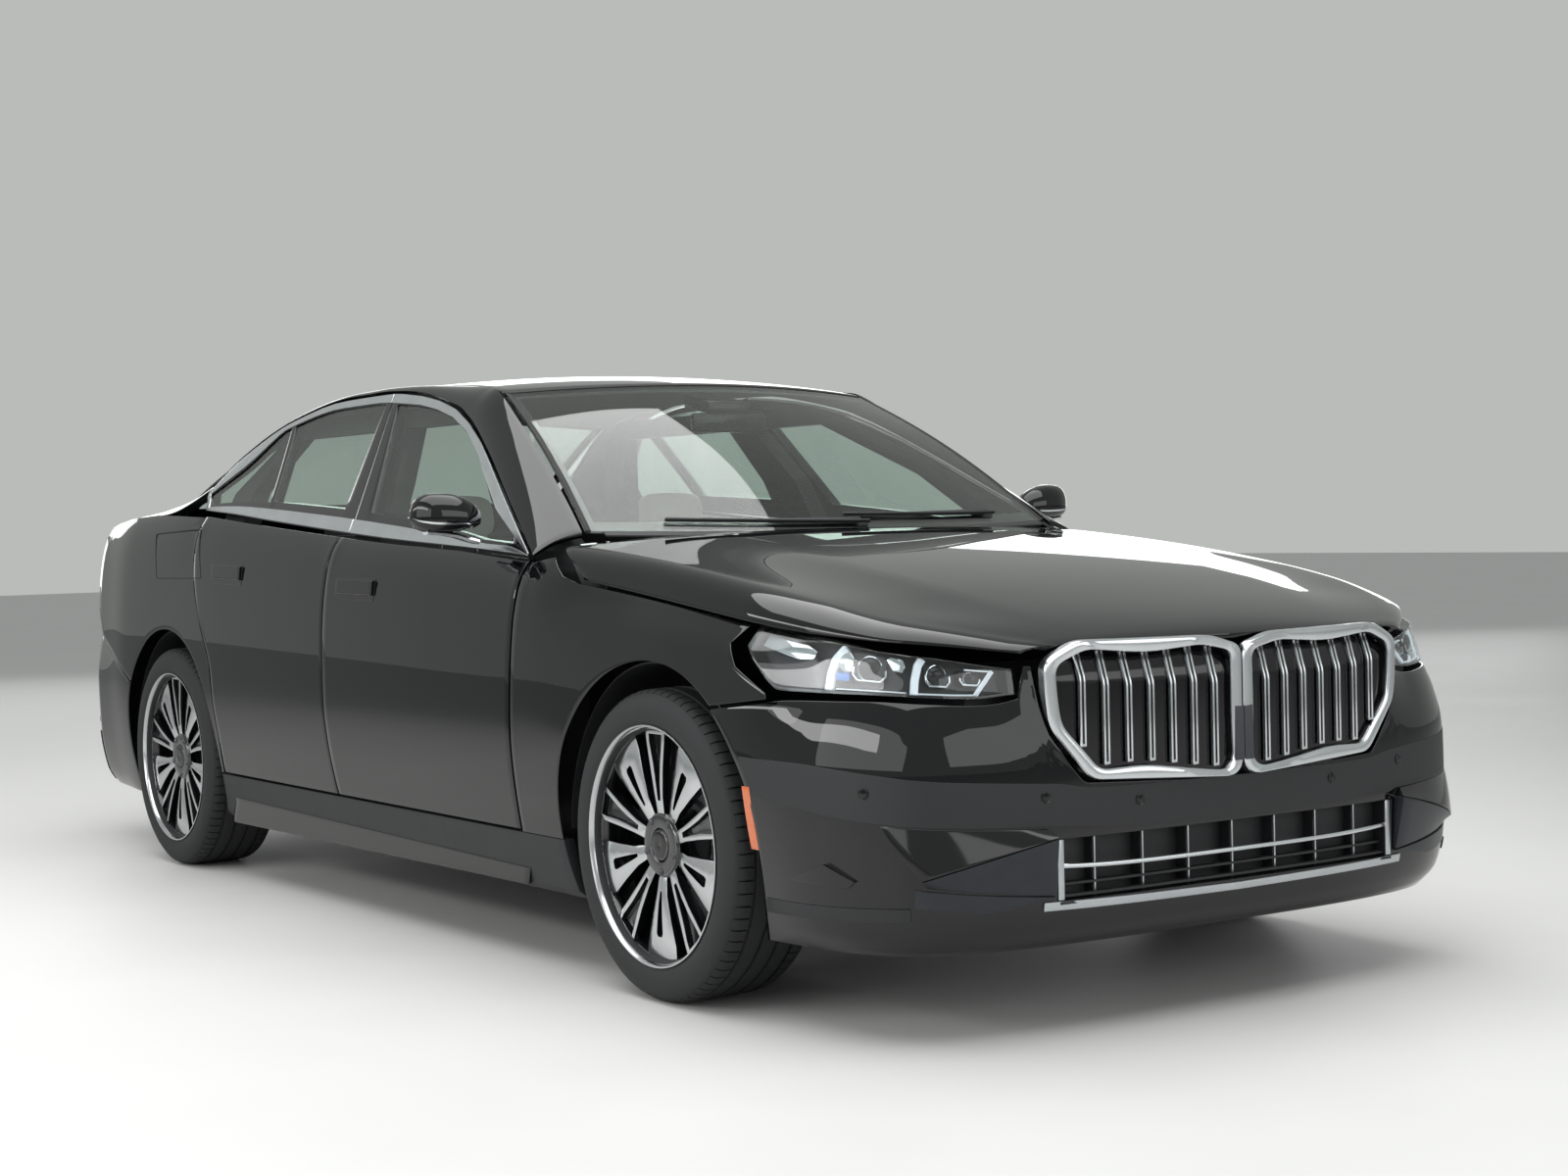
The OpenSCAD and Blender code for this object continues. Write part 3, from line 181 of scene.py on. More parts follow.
# Grained polypropylene, moulded: dull with a fine leather-like grain, drawn at 1.2 mm so that it shows
GRAINED = surface("grained_polypropylene", "#141518", "#1d1e21", 80, (0.5, 0.62), ("cells", 1.6, 0.35, 0.2))
# Extruded EPDM rubber: matt, slightly dusty
SEAL = surface("extruded_epdm", "#0c0c0d", "#151617", 60, (0.62, 0.75), ("noise", 3, 0.2, 0.15))
# Vulcanised tyre rubber: carbon black, matt, with dust in its moulded skin
RUBBER = surface("vulcanised_tyre_rubber", "#151617", "#222325", 45, (0.66, 0.82), ("noise", 1.5, 0.3, 0.2))
# Blackened cast aluminium wheel under clear lacquer
DARK_ALLOY = surface(
    "lacquered_black_alloy", "#08090a", "#101113", 70, (0.14, 0.22), ("noise", 8, 0.06, 0.1),
    coat_weight=0.6, coat_roughness=0.06
)
# Floor: pale painted screed
FLOOR = surface("pale_floor_paint", "#c9c9c6", "#d6d6d3", 900, (0.5, 0.62), ("noise", 5, 0.1, 0.3))
# Satin paint on the lower lip
LIP = surface(
    "satin_silver_paint", "#aeb2b6", "#c2c6c9", 120, (0.26, 0.34), ("noise", 5, 0.05, 0.05), metallic=0.85
)
# Moulded polycarbonate with a black inside: lamp housings
LAMP_BLACK = surface("moulded_lamp_housing", "#0b0c0f", "#15171b", 40, (0.25, 0.4), ("Z", 2.5, 0.15, 0.2))
# Vacuum-metallised reflector
MIRROR = surface("metallised_reflector", "#dfe3e6", "#f2f4f5", 50, (0.03, 0.08), None, metallic=1.0)
# Frosted light guide in white acrylic
GUIDE = surface(
    "frosted_acrylic_guide", "#dfe6ec", "#f6f9fb", 30, (0.25, 0.35), ("noise", 3, 0.1, 0.1),
    glow=("#f4f8ff", 0.25)
)
# Blue tinted acrylic accent inside the lamp
BLUE_GUIDE = surface("blue_acrylic", "#1d62b5", "#2c7fd6", 20, (0.15, 0.25), None)
# Orange reflex reflector: acrylic over 3 mm prisms
AMBER = surface(
    "amber_reflex_acrylic", "#b9501a", "#d8691f", 6, (0.2, 0.3), ("cells", 3, 0.8, 0.8), coat_weight=1.0,
    coat_roughness=0.05
)
# Red lamp acrylic over fine optics
RED = surface(
    "red_lamp_acrylic", "#5e070b", "#8b0f15", 25, (0.08, 0.14), ("Z", 4, 0.25, 0.5), coat_weight=1.0,
    coat_roughness=0.03
)
RED_BRIGHT = surface(
    "red_light_guide", "#b3141b", "#d2232a", 25, (0.2, 0.3), ("noise", 3, 0.1, 0.1), glow=("#e0222a", 0.35)
)
# Ivory nappa hide, drum dyed: soft sheen and fine pebble grain of about 2 mm
HIDE = surface(
    "ivory_nappa_leather", "#b9b5ac", "#cbc7be", 90, (0.42, 0.55), ("cells", 3.2, 0.35, 0.35),
    sheen_weight=0.15
)
# Dark hide on the wheel rim and lower trim
DARK_HIDE = surface("black_nappa_leather", "#17181a", "#222326", 90, (0.42, 0.52), ("cells", 3.0, 0.35, 0.3))
# Slush-moulded dashboard skin
DASH = surface("slush_moulded_skin", "#1c1d20", "#26272b", 140, (0.5, 0.62), ("cells", 2.2, 0.35, 0.25))
# Needle-punched carpet
CARPET = surface(
    "needle_punched_carpet", "#141416", "#242427", 12, (0.85, 0.95), ("noise", 4, 0.9, 1.5),
    sheen_weight=0.2
)
# Woven headlining and pillar cloth
LINING = surface("woven_headlining", "#8f9092", "#a1a2a4", 10, (0.8, 0.9), ("noise", 2.5, 0.4, 0.4))
# Cast iron brake disc with ground faces
IRON = surface(
    "ground_cast_iron", "#6d6f72", "#8a8c8f", 30, (0.3, 0.42), ("noise", 2.5, 0.2, 0.1), metallic=1.0
)
# Sand-cast and painted suspension metal
CAST = surface("painted_casting", "#34363a", "#46494d", 60, (0.5, 0.65), ("noise", 4, 0.4, 0.5), metallic=0.3)
# Underbody coating
COATING = surface("underbody_coating", "#1b1c1e", "#27282b", 90, (0.7, 0.85), ("noise", 6, 0.6, 0.8))
# Pressed aluminium battery case
PACK = surface(
    "pressed_battery_case", "#55585c", "#6a6d71", 150, (0.4, 0.52), ("X", 18, 0.3, 0.8), metallic=0.7
)
# Display glass, off
SCREEN = surface("dark_display_glass", "#050608", "#0a0c10", 100, (0.04, 0.08), None, ior=1.5)
# Blank sheet-metal plate, white lacquer
PLATE = surface("white_lacquered_plate", "#d3d4d2", "#dfe0de", 60, (0.3, 0.4), ("noise", 10, 0.05, 0.1))
# Toughened, slightly green tinted float glass
SIDE_GLASS = window("toughened_side_glass", "#e9f1ed")
SCREEN_GLASS = window("laminated_windscreen", "#edf3f0")
LENS_GLASS = window("clear_polycarbonate_lens", "#f2f5f6")
# Enamel frit fired on the glass edge
FRIT = surface("fired_black_frit", "#070708", "#0c0c0e", 80, (0.05, 0.1), None)


def turned(name, centre):
    """Diamond-turned aluminium under clear lacquer: bright with turning rings round the hub."""
    return surface(
        name, "#b4b7ba", "#ced0d2", 80, (0.16, 0.24), ("rings", 1.5, 0.08, 0.03), centre, metallic=1.0,
        coat_weight=0.5, coat_roughness=0.05
    )


# Body curves, the same as the construction's
def lerp(a, b, t):
    return a + (b - a) * t


def ease(t):
    return 0 if t <= 0 else 1 if t >= 1 else t * t * (3 - 2 * t)


class Curve:
    """Smooth line through given points [along, value]."""

    def __init__(self, points):
        self.x, self.v = [p[0] for p in points], [p[1] for p in points]
        g = [(self.v[i + 1] - self.v[i]) / (self.x[i + 1] - self.x[i]) for i in range(len(points) - 1)]
        self.s = [g[0]] + [0 if a * b <= 0 else 2 * a * b / (a + b) for a, b in zip(g, g[1:])] + [g[-1]]

    def __call__(self, q):
        x, v, s = self.x, self.v, self.s
        i = max([0] + [k for k in range(len(x) - 1) if x[k] <= q])
        h = x[i + 1] - x[i]
        t = (q - x[i]) / h
        if t < 0:
            return v[0] + (q - x[0]) * s[0]
        if t > 1:
            return v[i + 1] + (q - x[i + 1]) * s[i + 1]
        u = 1 - t
        return v[i] * (1 + 2 * t) * u * u + h * s[i] * t * u * u + v[i + 1] * t * t * (3 - 2 * t) - h * s[i + 1] * t * t * u


FRONT, HUB, WIDTH = -1600, 352, 943
REAR, TRACK = 1395, 805
WIDE = 580
ARCH = 415
GAP = 6.5
belt = Curve(
    [
        [-2100, 836], [-1900, 856], [-1540, 900], [-1240, 936], [-1120, 975], [-989, 992], [-93, 1041],
        [695, 1094], [1204, 1131], [1400, 1140], [1900, 1130], [2400, 1095]
    ]
)
crest = Curve(
    [
        [-2200, 870], [-2050, 905], [-1810, 945], [-1540, 985], [-1300, 1010], [-1100, 1004], [-989, 992],
        [-93, 1041], [695, 1094], [1204, 1131], [1400, 1140], [1900, 1130], [2400, 1095]
    ]
)
plan = Curve([[-2005, -22], [-1600, -9], [-980, -2], [0, 0], [900, -1], [1395, -6], [1800, -12], [2050, -35]])
shoulder_front = Curve([[0, 0], [0.4, 10], [0.6, 28], [0.79, 80], [0.92, 115], [1, 145]])
shoulder_door = Curve([[0, 0], [0.3, 4], [0.6, 14], [0.8, 28], [0.92, 46], [1, 72]])
dlo_top = Curve(
    [
        [-989, 1004], [-712, 1152], [-365, 1333], [-175, 1404], [80, 1452], [315, 1470], [634, 1466],
        [973, 1417], [1265, 1309], [1400, 1208]
    ]
)
pane_top = Curve(
    [
        [-900, 1036], [-695, 1117], [-480, 1249], [-289, 1351], [-180, 1383], [-13, 1414], [245, 1436],
        [317, 1441], [615, 1449], [958, 1405], [1187, 1279], [1385, 1196]
    ]
)
pane_low = Curve([[-900, 1032], [18, 1068], [235, 1074], [803, 1105], [1187, 1142], [1358, 1152]])
NOSE = [
    [0, -2512], [300, -2508], [500, -2492], [650, -2462], [760, -2412], [830, -2345], [878, -2255],
    [906, -2130], [921, -2005], [929, -1850]
]
TAIL = [
    [0, 2530], [350, 2520], [550, 2492], [700, 2440], [800, 2365], [865, 2265], [900, 2150], [921, 2020],
    [940, 1850]
]
nose_lean = Curve(
    [
        [182, 60], [230, 20], [300, 5], [450, 0], [560, 2], [650, 22], [710, 46], [760, 60], [810, 76],
        [860, 105]
    ]
)
tail_lean = Curve(
    [[182, 75], [260, 28], [400, 5], [560, 0], [700, 15], [800, 38], [900, 55], [1000, 78], [1095, 102]]
)
mid_line = Curve([[330, -30], [486, -11], [604, 0], [824, 12], [1046, 7], [1070, 4], [1440, 151]])
rear_line = Curve(
    [
        [330, -203], [420, -207], [540, -190], [666, -165], [760, -105], [835, -53], [967, -5], [1060, 5],
        [1130, 1]
    ]
)


def inset(y, z):
    if z < WIDE:
        return 58 * ((WIDE - z) / 400) ** 1.6
    s = (z - WIDE) / (crest(y) - WIDE)
    return lerp(shoulder_front(s), shoulder_door(s), ease((y + 1500) / 500))


def side_x(y, z):
    return WIDTH + plan(y) - inset(y, z)


def side_pt(y, z):
    return (side_x(y, z), y, z)


def house_pt(y, z):
    return (880 - 0.55 * (z - 1000), y, z)


def along(p, t):
    n = len(p) - 1
    i = min(n - 1, int(t * n))
    f = t * n - i
    a, b, c, d = (np.array(p[k], float) for k in (max(0, i - 1), i, i + 1, min(n, i + 2)))
    ma = np.array([c[0] - b[0], 0]) if i == 0 else (c - a) / 2
    mc = (d - b) / 2
    return b * (1 + 2 * f) * (1 - f) ** 2 + ma * f * (1 - f) ** 2 + c * f * f * (3 - 2 * f) - mc * f * f * (1 - f)


def end_pt(p, lean, t, z, calm):
    q = along(p, t)
    d = along(p, min(1, t + 0.01)) - along(p, max(0, t - 0.01))
    d = d / np.linalg.norm(d)
    out = (d[1], -d[0]) if p[0][1] < 0 else (-d[1], d[0])
    top = lerp(calm, 1, ease((q[0] - 430) / 200)) if z > WIDE else 1
    back = lerp(lean(z) * top, inset(q[1], z), ease((t - 0.72) / 0.25))
    return (max(0, q[0] - out[0] * back), q[1] - out[1] * back, z)


def nose(t, z):
    return end_pt(NOSE, nose_lean, t, z, 0.12)


def tail(t, z):
    return end_pt(TAIL, tail_lean, t, z, 0.8)


def steps(a, b, n):
    return [lerp(a, b, k / n) for k in range(n + 1)]


def mid_y(z):
    return 130 + mid_line(z)


def rear_edge_y(z):
    return 1165 + rear_line(z)


# Mesh tools
class Solid:
    """Points in mm, faces and their material numbers."""

    def __init__(self):
        self.v, self.f, self.m = [], [], []

    def add(self, points, faces, mat=0):
        base = len(self.v)
        self.v += [tuple(p) for p in points]
        self.f += [tuple(base + i for i in f) for f in faces]
        self.m += [mat] * len(faces)
        return self

    def mirrored(self):
        twin = Solid()
        twin.v = [(-x, y, z) for x, y, z in self.v]
        twin.f = [tuple(reversed(f)) for f in self.f]
        twin.m = list(self.m)
        return twin

    def join(self, other):
        base = len(self.v)
        self.v += other.v
        self.f += [tuple(base + i for i in f) for f in other.f]
        self.m += other.m
        return self


def sheet(outer, inner, holes=(), mats=(0, 0, 1)):
    """Closed panel between two grids of points; cells in holes stay open. mats: outside, edge, inside."""
    m, n = len(outer), len(outer[0])
    k = m * n

    def is_open(i, j):
        return i < 0 or j < 0 or i > m - 2 or j > n - 2 or any(
            h[0] <= i < h[1] and h[2] <= j < h[3] for h in holes
        )

    a, b = np.array(outer, float), np.array(inner, float)
    i0, j0 = m // 2, n // 2
    facing = np.dot(np.cross(a[i0][j0] - a[i0 - 1][j0], a[i0][j0] - a[i0][j0 - 1]), a[i0][j0] - b[i0][j0])
    s = Solid()
    faces = {0: [], 1: [], 2: []}
    for i in range(m - 1):
        for j in range(n - 1):
            if is_open(i, j):
                continue
            p, q, r, t = i * n + j, i * n + j + 1, (i + 1) * n + j + 1, (i + 1) * n + j
            faces[0].append((p, t, r, q))
            faces[2].append((t + k, p + k, q + k, r + k))
            if is_open(i - 1, j):
                faces[1].append((p, q, q + k, p + k))
            if is_open(i + 1, j):
                faces[1].append((r, t, t + k, r + k))
            if is_open(i, j - 1):
                faces[1].append((t, p, p + k, t + k))
            if is_open(i, j + 1):
                faces[1].append((q, r, r + k, q + k))
    used = sorted({i for fs in faces.values() for f in fs for i in f})
    new = {old: i for i, old in enumerate(used)}
    points = [tuple(a.reshape(-1, 3)[i]) if i < k else tuple(b.reshape(-1, 3)[i - k]) for i in used]
    s.v = points
    for part, mat in enumerate(mats):
        for f in faces[part]:
            g = tuple(new[i] for i in f)
            s.f.append(g if facing > 0 else tuple(reversed(g)))
            s.m.append(mat)
    return s


def normals(grid):
    g = np.array(grid, float)
    du, dv = np.gradient(g, axis=0), np.gradient(g, axis=1)
    n = np.cross(du, dv)
    return n / np.maximum(np.linalg.norm(n, axis=2, keepdims=True), 1e-9)


def skin(outer, thick, towards=(0, 0, 600)):
    """Closed panel of even thickness on the side of a point within the car."""
    g = np.array(outer, float)
    n = normals(g)
    c = g.reshape(-1, 3).mean(0) - np.array(towards, float)
    if (n.reshape(-1, 3) @ c).sum() < 0:
        n = -n
    return sheet(g, g - n * thick)


def relaxed(grid, times):
    """Evens the light on a painted sheet: every inner point moves to the mean of its neighbours."""
    g = np.array(grid, float)
    for _ in range(times):
        g[1:-1, 1:-1] += 0.5 * ((g[:-2, 1:-1] + g[2:, 1:-1] + g[1:-1, :-2] + g[1:-1, 2:]) / 4 - g[1:-1, 1:-1])
    return g


def box(x, y, z):
    """Block between pairs of numbers."""
    p = [(x[i], y[j], z[k]) for i in (0, 1) for j in (0, 1) for k in (0, 1)]
    return Solid().add(
        p, [(0, 1, 3, 2), (4, 6, 7, 5), (0, 4, 5, 1), (2, 3, 7, 6), (0, 2, 6, 4), (1, 5, 7, 3)]
    )


def prism(outline, low, high, place):
    """Outline in two numbers, carried from low to high by place(a, b, level)."""
    n = len(outline)
    area = sum(
        outline[i][0] * outline[(i + 1) % n][1] - outline[(i + 1) % n][0] * outline[i][1] for i in range(n)
    )
    if area < 0:
        outline = outline[::-1]
    p = [place(a, b, low) for a, b in outline] + [place(a, b, high) for a, b in outline]
    s = Solid().add(
        p,
        [tuple(reversed(range(n))), tuple(range(n, 2 * n))] + [
            (i, (i + 1) % n, n + (i + 1) % n, n + i) for i in range(n)
        ]
    )
    return s


def lathe(profile, n, place):
    """Closed profile [(radius, along)] turned round an axis by place(radius, angle, along)."""
    m = len(profile)
    p = [place(r, 2 * math.pi * k / n, a) for k in range(n) for r, a in profile]
    faces = [
        (k * m + i, k * m + (i + 1) % m, (k + 1) % n * m + (i + 1) % m, (k + 1) % n * m + i)
        for k in range(n) for i in range(m)
    ]
    return Solid().add(p, faces)


def sweep(path, section, up=(0, 0, 1), closed=False, scale=None):
    """Section [(across, above)] carried along a path of points."""
    p = np.array(path, float)
    n, m = len(p), len(section)
    if closed:
        d = np.roll(p, -1, 0) - np.roll(p, 1, 0)
    else:
        d = np.gradient(p, axis=0)
    d /= np.linalg.norm(d, axis=1, keepdims=True)
    ups = np.broadcast_to(np.array(up, float), p.shape)
    side = np.cross(d, ups)
    side /= np.linalg.norm(side, axis=1, keepdims=True)
    top = np.cross(side, d)
    size = scale or [1] * n
    points = [p[i] + side[i] * a * size[i] + top[i] * b * size[i] for i in range(n) for a, b in section]
    last = n if closed else n - 1
    faces = [
        (i * m + j, i * m + (j + 1) % m, (i + 1) % n * m + (j + 1) % m, (i + 1) % n * m + j)
        for i in range(last) for j in range(m)
    ]
    s = Solid().add(points, faces)
    if not closed:
        s.f += [tuple(reversed(range(m))), tuple(range((n - 1) * m, n * m))]
        s.m += [0, 0]
    return s


def rod(a, b, r, n=16):
    """Round bar between two points."""
    a, b = np.array(a, float), np.array(b, float)
    d = (b - a) / np.linalg.norm(b - a)
    up = (0, 0, 1) if abs(d[2]) < 0.9 else (0, 1, 0)
    return sweep(
        [a, (a + b) / 2, b],
        [(r * math.cos(2 * math.pi * k / n), r * math.sin(2 * math.pi * k / n)) for k in range(n)], up
    )


def make(
    name, solid, mats, body, round_mm=0.0, segments=2, turn=40, replaces=(), slot=None, weld=True,
    flip=False
):
    """A finished piece: its mesh in metres, edges rounded, smooth where it is smooth, riding on its body."""
    mesh = bpy.data.meshes.new(name)
    mesh.from_pydata([(x * MM, y * MM, z * MM) for x, y, z in solid.v], [], solid.f)
    mesh.polygons.foreach_set("material_index", solid.m)
    bm = bmesh.new()
    bm.from_mesh(mesh)
    if weld:
        bmesh.ops.remove_doubles(bm, verts=bm.verts, dist=1e-5)
    bmesh.ops.recalc_face_normals(bm, faces=bm.faces)
    if flip:
        bmesh.ops.reverse_faces(bm, faces=bm.faces)
    if round_mm:
        sharp = [e for e in bm.edges if len(e.link_faces) == 2 and e.calc_face_angle(0) > math.radians(turn)]
        bmesh.ops.bevel(
            bm, geom=sharp, offset=round_mm * MM, segments=segments, profile=0.5, affect="EDGES",
            clamp_overlap=True
        )
    bm.to_mesh(mesh)
    bm.free()
    obj = bpy.data.objects.new(name, mesh)
    bpy.context.scene.collection.objects.link(obj)
    for mat in mats if isinstance(mats, (list, tuple)) else [mats]:
        mesh.materials.append(mat)
    mesh.shade_smooth()
    mesh.set_sharp_from_angle(angle=math.radians(turn))
    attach(obj, body)
    if replaces:
        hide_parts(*replaces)
    return obj


def pair(name, solid, mats, body, replaces=(), **more):
    """The same piece on the left, and mirrored on the right. SIDE in a body or node name is filled in."""
    for side, shape in (("left", solid), ("right", solid.mirrored())):
        make(
            f"{name}_{side}", shape, mats(side) if callable(mats) else mats, body.replace("SIDE", side),
            replaces=[r.replace("SIDE", side) for r in replaces], **more,
        )


def both(solid):
    """One piece with its mirror twin."""
    twin = solid.mirrored()
    return Solid().join(solid).join(twin)


# Doors
LOW = 330 + GAP / 2
SHARE = [0, 0.16, 0.41, 0.67, 0.92, 1]


def upper_z(y, r):
    a, b = belt(y) + 8, dlo_top(y)
    low = min(0.42, max(0.16, (pane_low(y) - a) / (b - a)))
    high = min(0.93, max(0.6, (pane_top(y) - a) / (b - a)))
    f = low * r if r < 1 else lerp(high, 1, r - 4) if r > 4 else lerp(low, high, (r - 1) / 3)
    return lerp(a, b, f)


def upper_pt(y, r, out=0):
    x, y, z = house_pt(y, upper_z(y, r))
    return (x + out, y, z + 0.5 * out)


def share(r):
    i = min(4, int(r))
    return lerp(SHARE[i], SHARE[i + 1], r - i)


def key_y(bottom, top, c, r):
    """Station of column c (a fraction runs between two keys) at row r."""
    i = min(len(bottom) - 2, int(c))
    f = share(r)
    return lerp(lerp(bottom[i], top[i], f), lerp(bottom[i + 1], top[i + 1], f), c - i)


DOORS = {
    "front": (
        lambda f: -980 + GAP / 2,
        lambda f: mid_y(lerp(LOW, 1052, f)) - GAP / 2,
        [-984, -930, -926, -880, 18, 99, 103, mid_y(1070) - GAP / 2],
        [-984, -930, -926, -868, 245, 256, 260, mid_y(1440) - GAP / 2],
        [(3, 4)],
    ),
    "rear": (
        lambda f: mid_y(lerp(LOW, 1052, f)) + GAP / 2,
        lambda f: rear_edge_y(lerp(LOW, 1128, f)) - GAP / 2,
        [mid_y(1070) + GAP / 2, 150, 154, 235, 790, 815, 1165, 1330, 1352],
        [mid_y(1440) + GAP / 2, 298, 302, 317, 946, 970, 1182, 1380, 1400],
        [(3, 4), (5, 7)],
    ),
}


def door_point(which, u, f, deep=0):
    a, b = DOORS[which][:2]
    y = lerp(a(f), b(f), u)
    return (side_x(y, z := lerp(LOW, belt(y) - 2, f)) - deep, y, z)


def door_block(which, u, f, deep):
    """Grid between fractions of the door's length and height at a depth under its skin."""
    return [[door_point(which, a, b, deep) for b in steps(f[0], f[1], 18)] for a in steps(u[0], u[1], 20)]


def window_grid(which, columns, rows, out=0):
    bottom, top = DOORS[which][2:4]
    return [[upper_pt(key_y(bottom, top, c, r), r, out) for r in rows] for c in columns]


def build_doors():
    rows = [0, 0.5, 1] + steps(1, 4, 12)[1:] + [4.5, 5]
    for which, (_, _, bottom, top, panes) in DOORS.items():
        body = f"door_{which}_SIDE"
        outer = relaxed([[door_point(which, u, f) for f in steps(0, 1, 34)] for u in steps(0, 1, 44)], 6)
        panel = sheet(outer, np.array(outer) - [3, 0, 0], mats=(0, 0, 1))
        pair(
            f"door_skin_{which}", panel, [PAINT, INNER], body, [f"door_{which}_SIDE"], round_mm=1.6,
            slot="body_paint"
        )
        inner = (0.075, 0.972) if which == "front" else (0.06, 0.965)
        shell = sheet(
            door_block(which, inner, (0.02, 0.985), 3.3), door_block(which, inner, (0.05, 0.985), 92)
        )
        pair(f"door_shell_{which}", shell, INNER, body, round_mm=4, slot="inner_body")
        card = sheet(
            door_block(which, (inner[0] + 0.01, inner[1] - 0.01), (0.07, 0.985), 92.5),
            door_block(which, (inner[0] + 0.01, inner[1] - 0.01), (0.08, 0.975), 104)
        )
        pair(f"door_card_{which}", card, DASH, body, round_mm=5, slot="dash_plastic")
        rest = sheet(
            door_block(which, (0.3, 0.8), (0.56, 0.66), 92.5),
            door_block(which, (0.32, 0.78), (0.57, 0.655), 109)
        )
        pair(f"arm_rest_{which}", rest, HIDE, body, round_mm=6, slot="seat_leather")
        # window frame with its openings
        columns, holes = [0], []
        for i in range(len(bottom) - 1):
            n = 10 if any(a <= i < b for a, b in panes) else 2
            columns += steps(i, i + 1, n)[1:]
        for a, b in panes:
            holes.append((columns.index(a), columns.index(b), rows.index(1), rows.index(4)))
        face = window_grid(which, columns, rows)
        back = np.array(face) - [34, 0, 0]
        back[:, -1] += [16, 0, -8]
        for i in (0, 1, len(columns) - 2, len(columns) - 1):
            back[i] = np.array(face[i]) - [4, 0, 0]
        pair(f"window_frame_{which}", sheet(face, back, holes), [PIANO, DASH], body, round_mm=1.5)
        # glass set in the openings of the black frame
        for k, (a, b) in enumerate(panes):
            g = window_grid(which, steps(a, b, 14), steps(1, 4, 12), 0)
            g = np.array(g) - [5, 0, 0]
            name = f"glass_pane_{which}_{k}" if k else f"glass_{which}"
            pair(
                name + "_sheet", sheet(g, g - [4, 0, 0]), SIDE_GLASS, body,
                [f"glass_{which}_SIDE"] if not k else (), slot="side_glass"
            )
        # bright strips along the roof rail and the belt
        last = 7 if which == "front" else 8
        top_band = window_grid(which, steps(0, last, 60), [4.12, 4.3, 4.6, 4.95], 2.2)
        low_band = window_grid(which, steps(0.0, last, 60), [0.04, 0.3, 0.62], 2.2)
        strips = sheet(top_band, np.array(top_band) - [5, 0, 1.5]).join(
            sheet(low_band, np.array(low_band) - [5, 0, 0])
        )
        if which == "rear":
            corner = window_grid(which, steps(7.15, 8, 5), steps(0.1, 4.9, 14), 2.4)
            strips.join(sheet(corner, np.array(corner) - [5, 0, 0]))
        pair(f"bright_strip_{which}", strips, ANODISED, body, round_mm=0.8)


# Fixed panels
FENDER = [
    [-3.4, -986, 327.05], [10, -986, 500], [25, -986, 700], [37, -986, 850], [47, -993, 984],
    [54, -1100, 996], [62, -1168, 952], [66, -1240, 933], [78, -1400, 914], [90, -1600, 891],
    [102, -1800, 866], [110, -1918, 851], [115, -1892, 812], [120, -1935, 765], [126, -2055, 714],
    [128, -2058, 702]
]
QUARTER_ANGLES = [183, 171, 159, 147, 134, 121, 111, 101]
QUARTER = [[QUARTER_ANGLES[j], rear_edge_y(z + 2) + GAP / 2, z] for j, z in enumerate(steps(LOW, 1124, 7))] + [
    [88, 1420, 1133], [77, 1620, 1138], [70, 1760, 1134], [64, 1900, 1129], [56, 2060, 1116], [49, 2150, 1101], [44, 2168, 960], [39, 2168, 830], [34, 2100, 724]]


def radial(axle, line, cuts, rings, power=1.2):
    grid = []
    for i in range(len(line) - 1):
        for k in range(0 if i == 0 else 1, cuts + 1):
            a, y, z = (lerp(line[i][n], line[i + 1][n], k / cuts) for n in range(3))
            c, s = axle + ARCH * math.cos(math.radians(a)), HUB + ARCH * math.sin(math.radians(a))
            grid.append(
                [
                    side_pt(lerp(c, y, (j / rings) ** power), lerp(s, z, (j / rings) ** power))
                    for j in range(rings + 1)
                ]
            )
    return grid


RAIL_HIGH = [
    [752, -1030, 1056], [720, -900, 1135], [672, -680, 1262], [641, -515, 1352], [610, -349, 1439],
    [598, -268, 1455], [588, -190, 1464], [576, 80, 1482], [570, 315, 1486], [568, 480, 1485],
    [568, 634, 1480], [564, 790, 1468], [561, 930, 1452], [560, 1030, 1434], [566, 1120, 1409],
    [592, 1260, 1354], [626, 1410, 1290], [640, 1480, 1260], [664, 1600, 1214], [694, 1720, 1172],
    [706, 1800, 1148], [706, 1900, 1135], [706, 2060, 1121], [706, 2150, 1113]
]
RAIL_OPEN = [-1010, -900, -712, -540, -365, -270, -175, 80, 315, 480, 634, 800, 973, 1100, 1200, 1300, 1392]
RAIL_LOW = [[y, dlo_top(y) + GAP + 3] for y in RAIL_OPEN] + [
    [1416, 1212], [1440, 1150], [1620, 1136], [1760, 1132], [1900, 1127], [2060, 1114], [2150, 1099]
]
RAIL_DEPTH = [[-5, 0, -3], [-9, 0, -6], [-7, 0, -11], [0, 0, -15]]
rail_x = Curve([[q[1], q[0]] for q in RAIL_HIGH])
rail_z = Curve([[q[1], q[2]] for q in RAIL_HIGH])
roof_mid = Curve([[-445, 1462], [-250, 1490], [0, 1510], [280, 1515], [600, 1508], [900, 1478], [1080, 1444]])
DECK_SIDE = 700


def rail_row(i, n):
    y, z = RAIL_LOW[i]
    low = np.array(house_pt(y, z) if y < 1430 else side_pt(y, z))
    high = np.array(RAIL_HIGH[i])
    return [
        low + (high - low) * k / n + np.array([5, 0, 7]) * math.sin(math.pi * k / n) for k in range(n + 1)
    ]


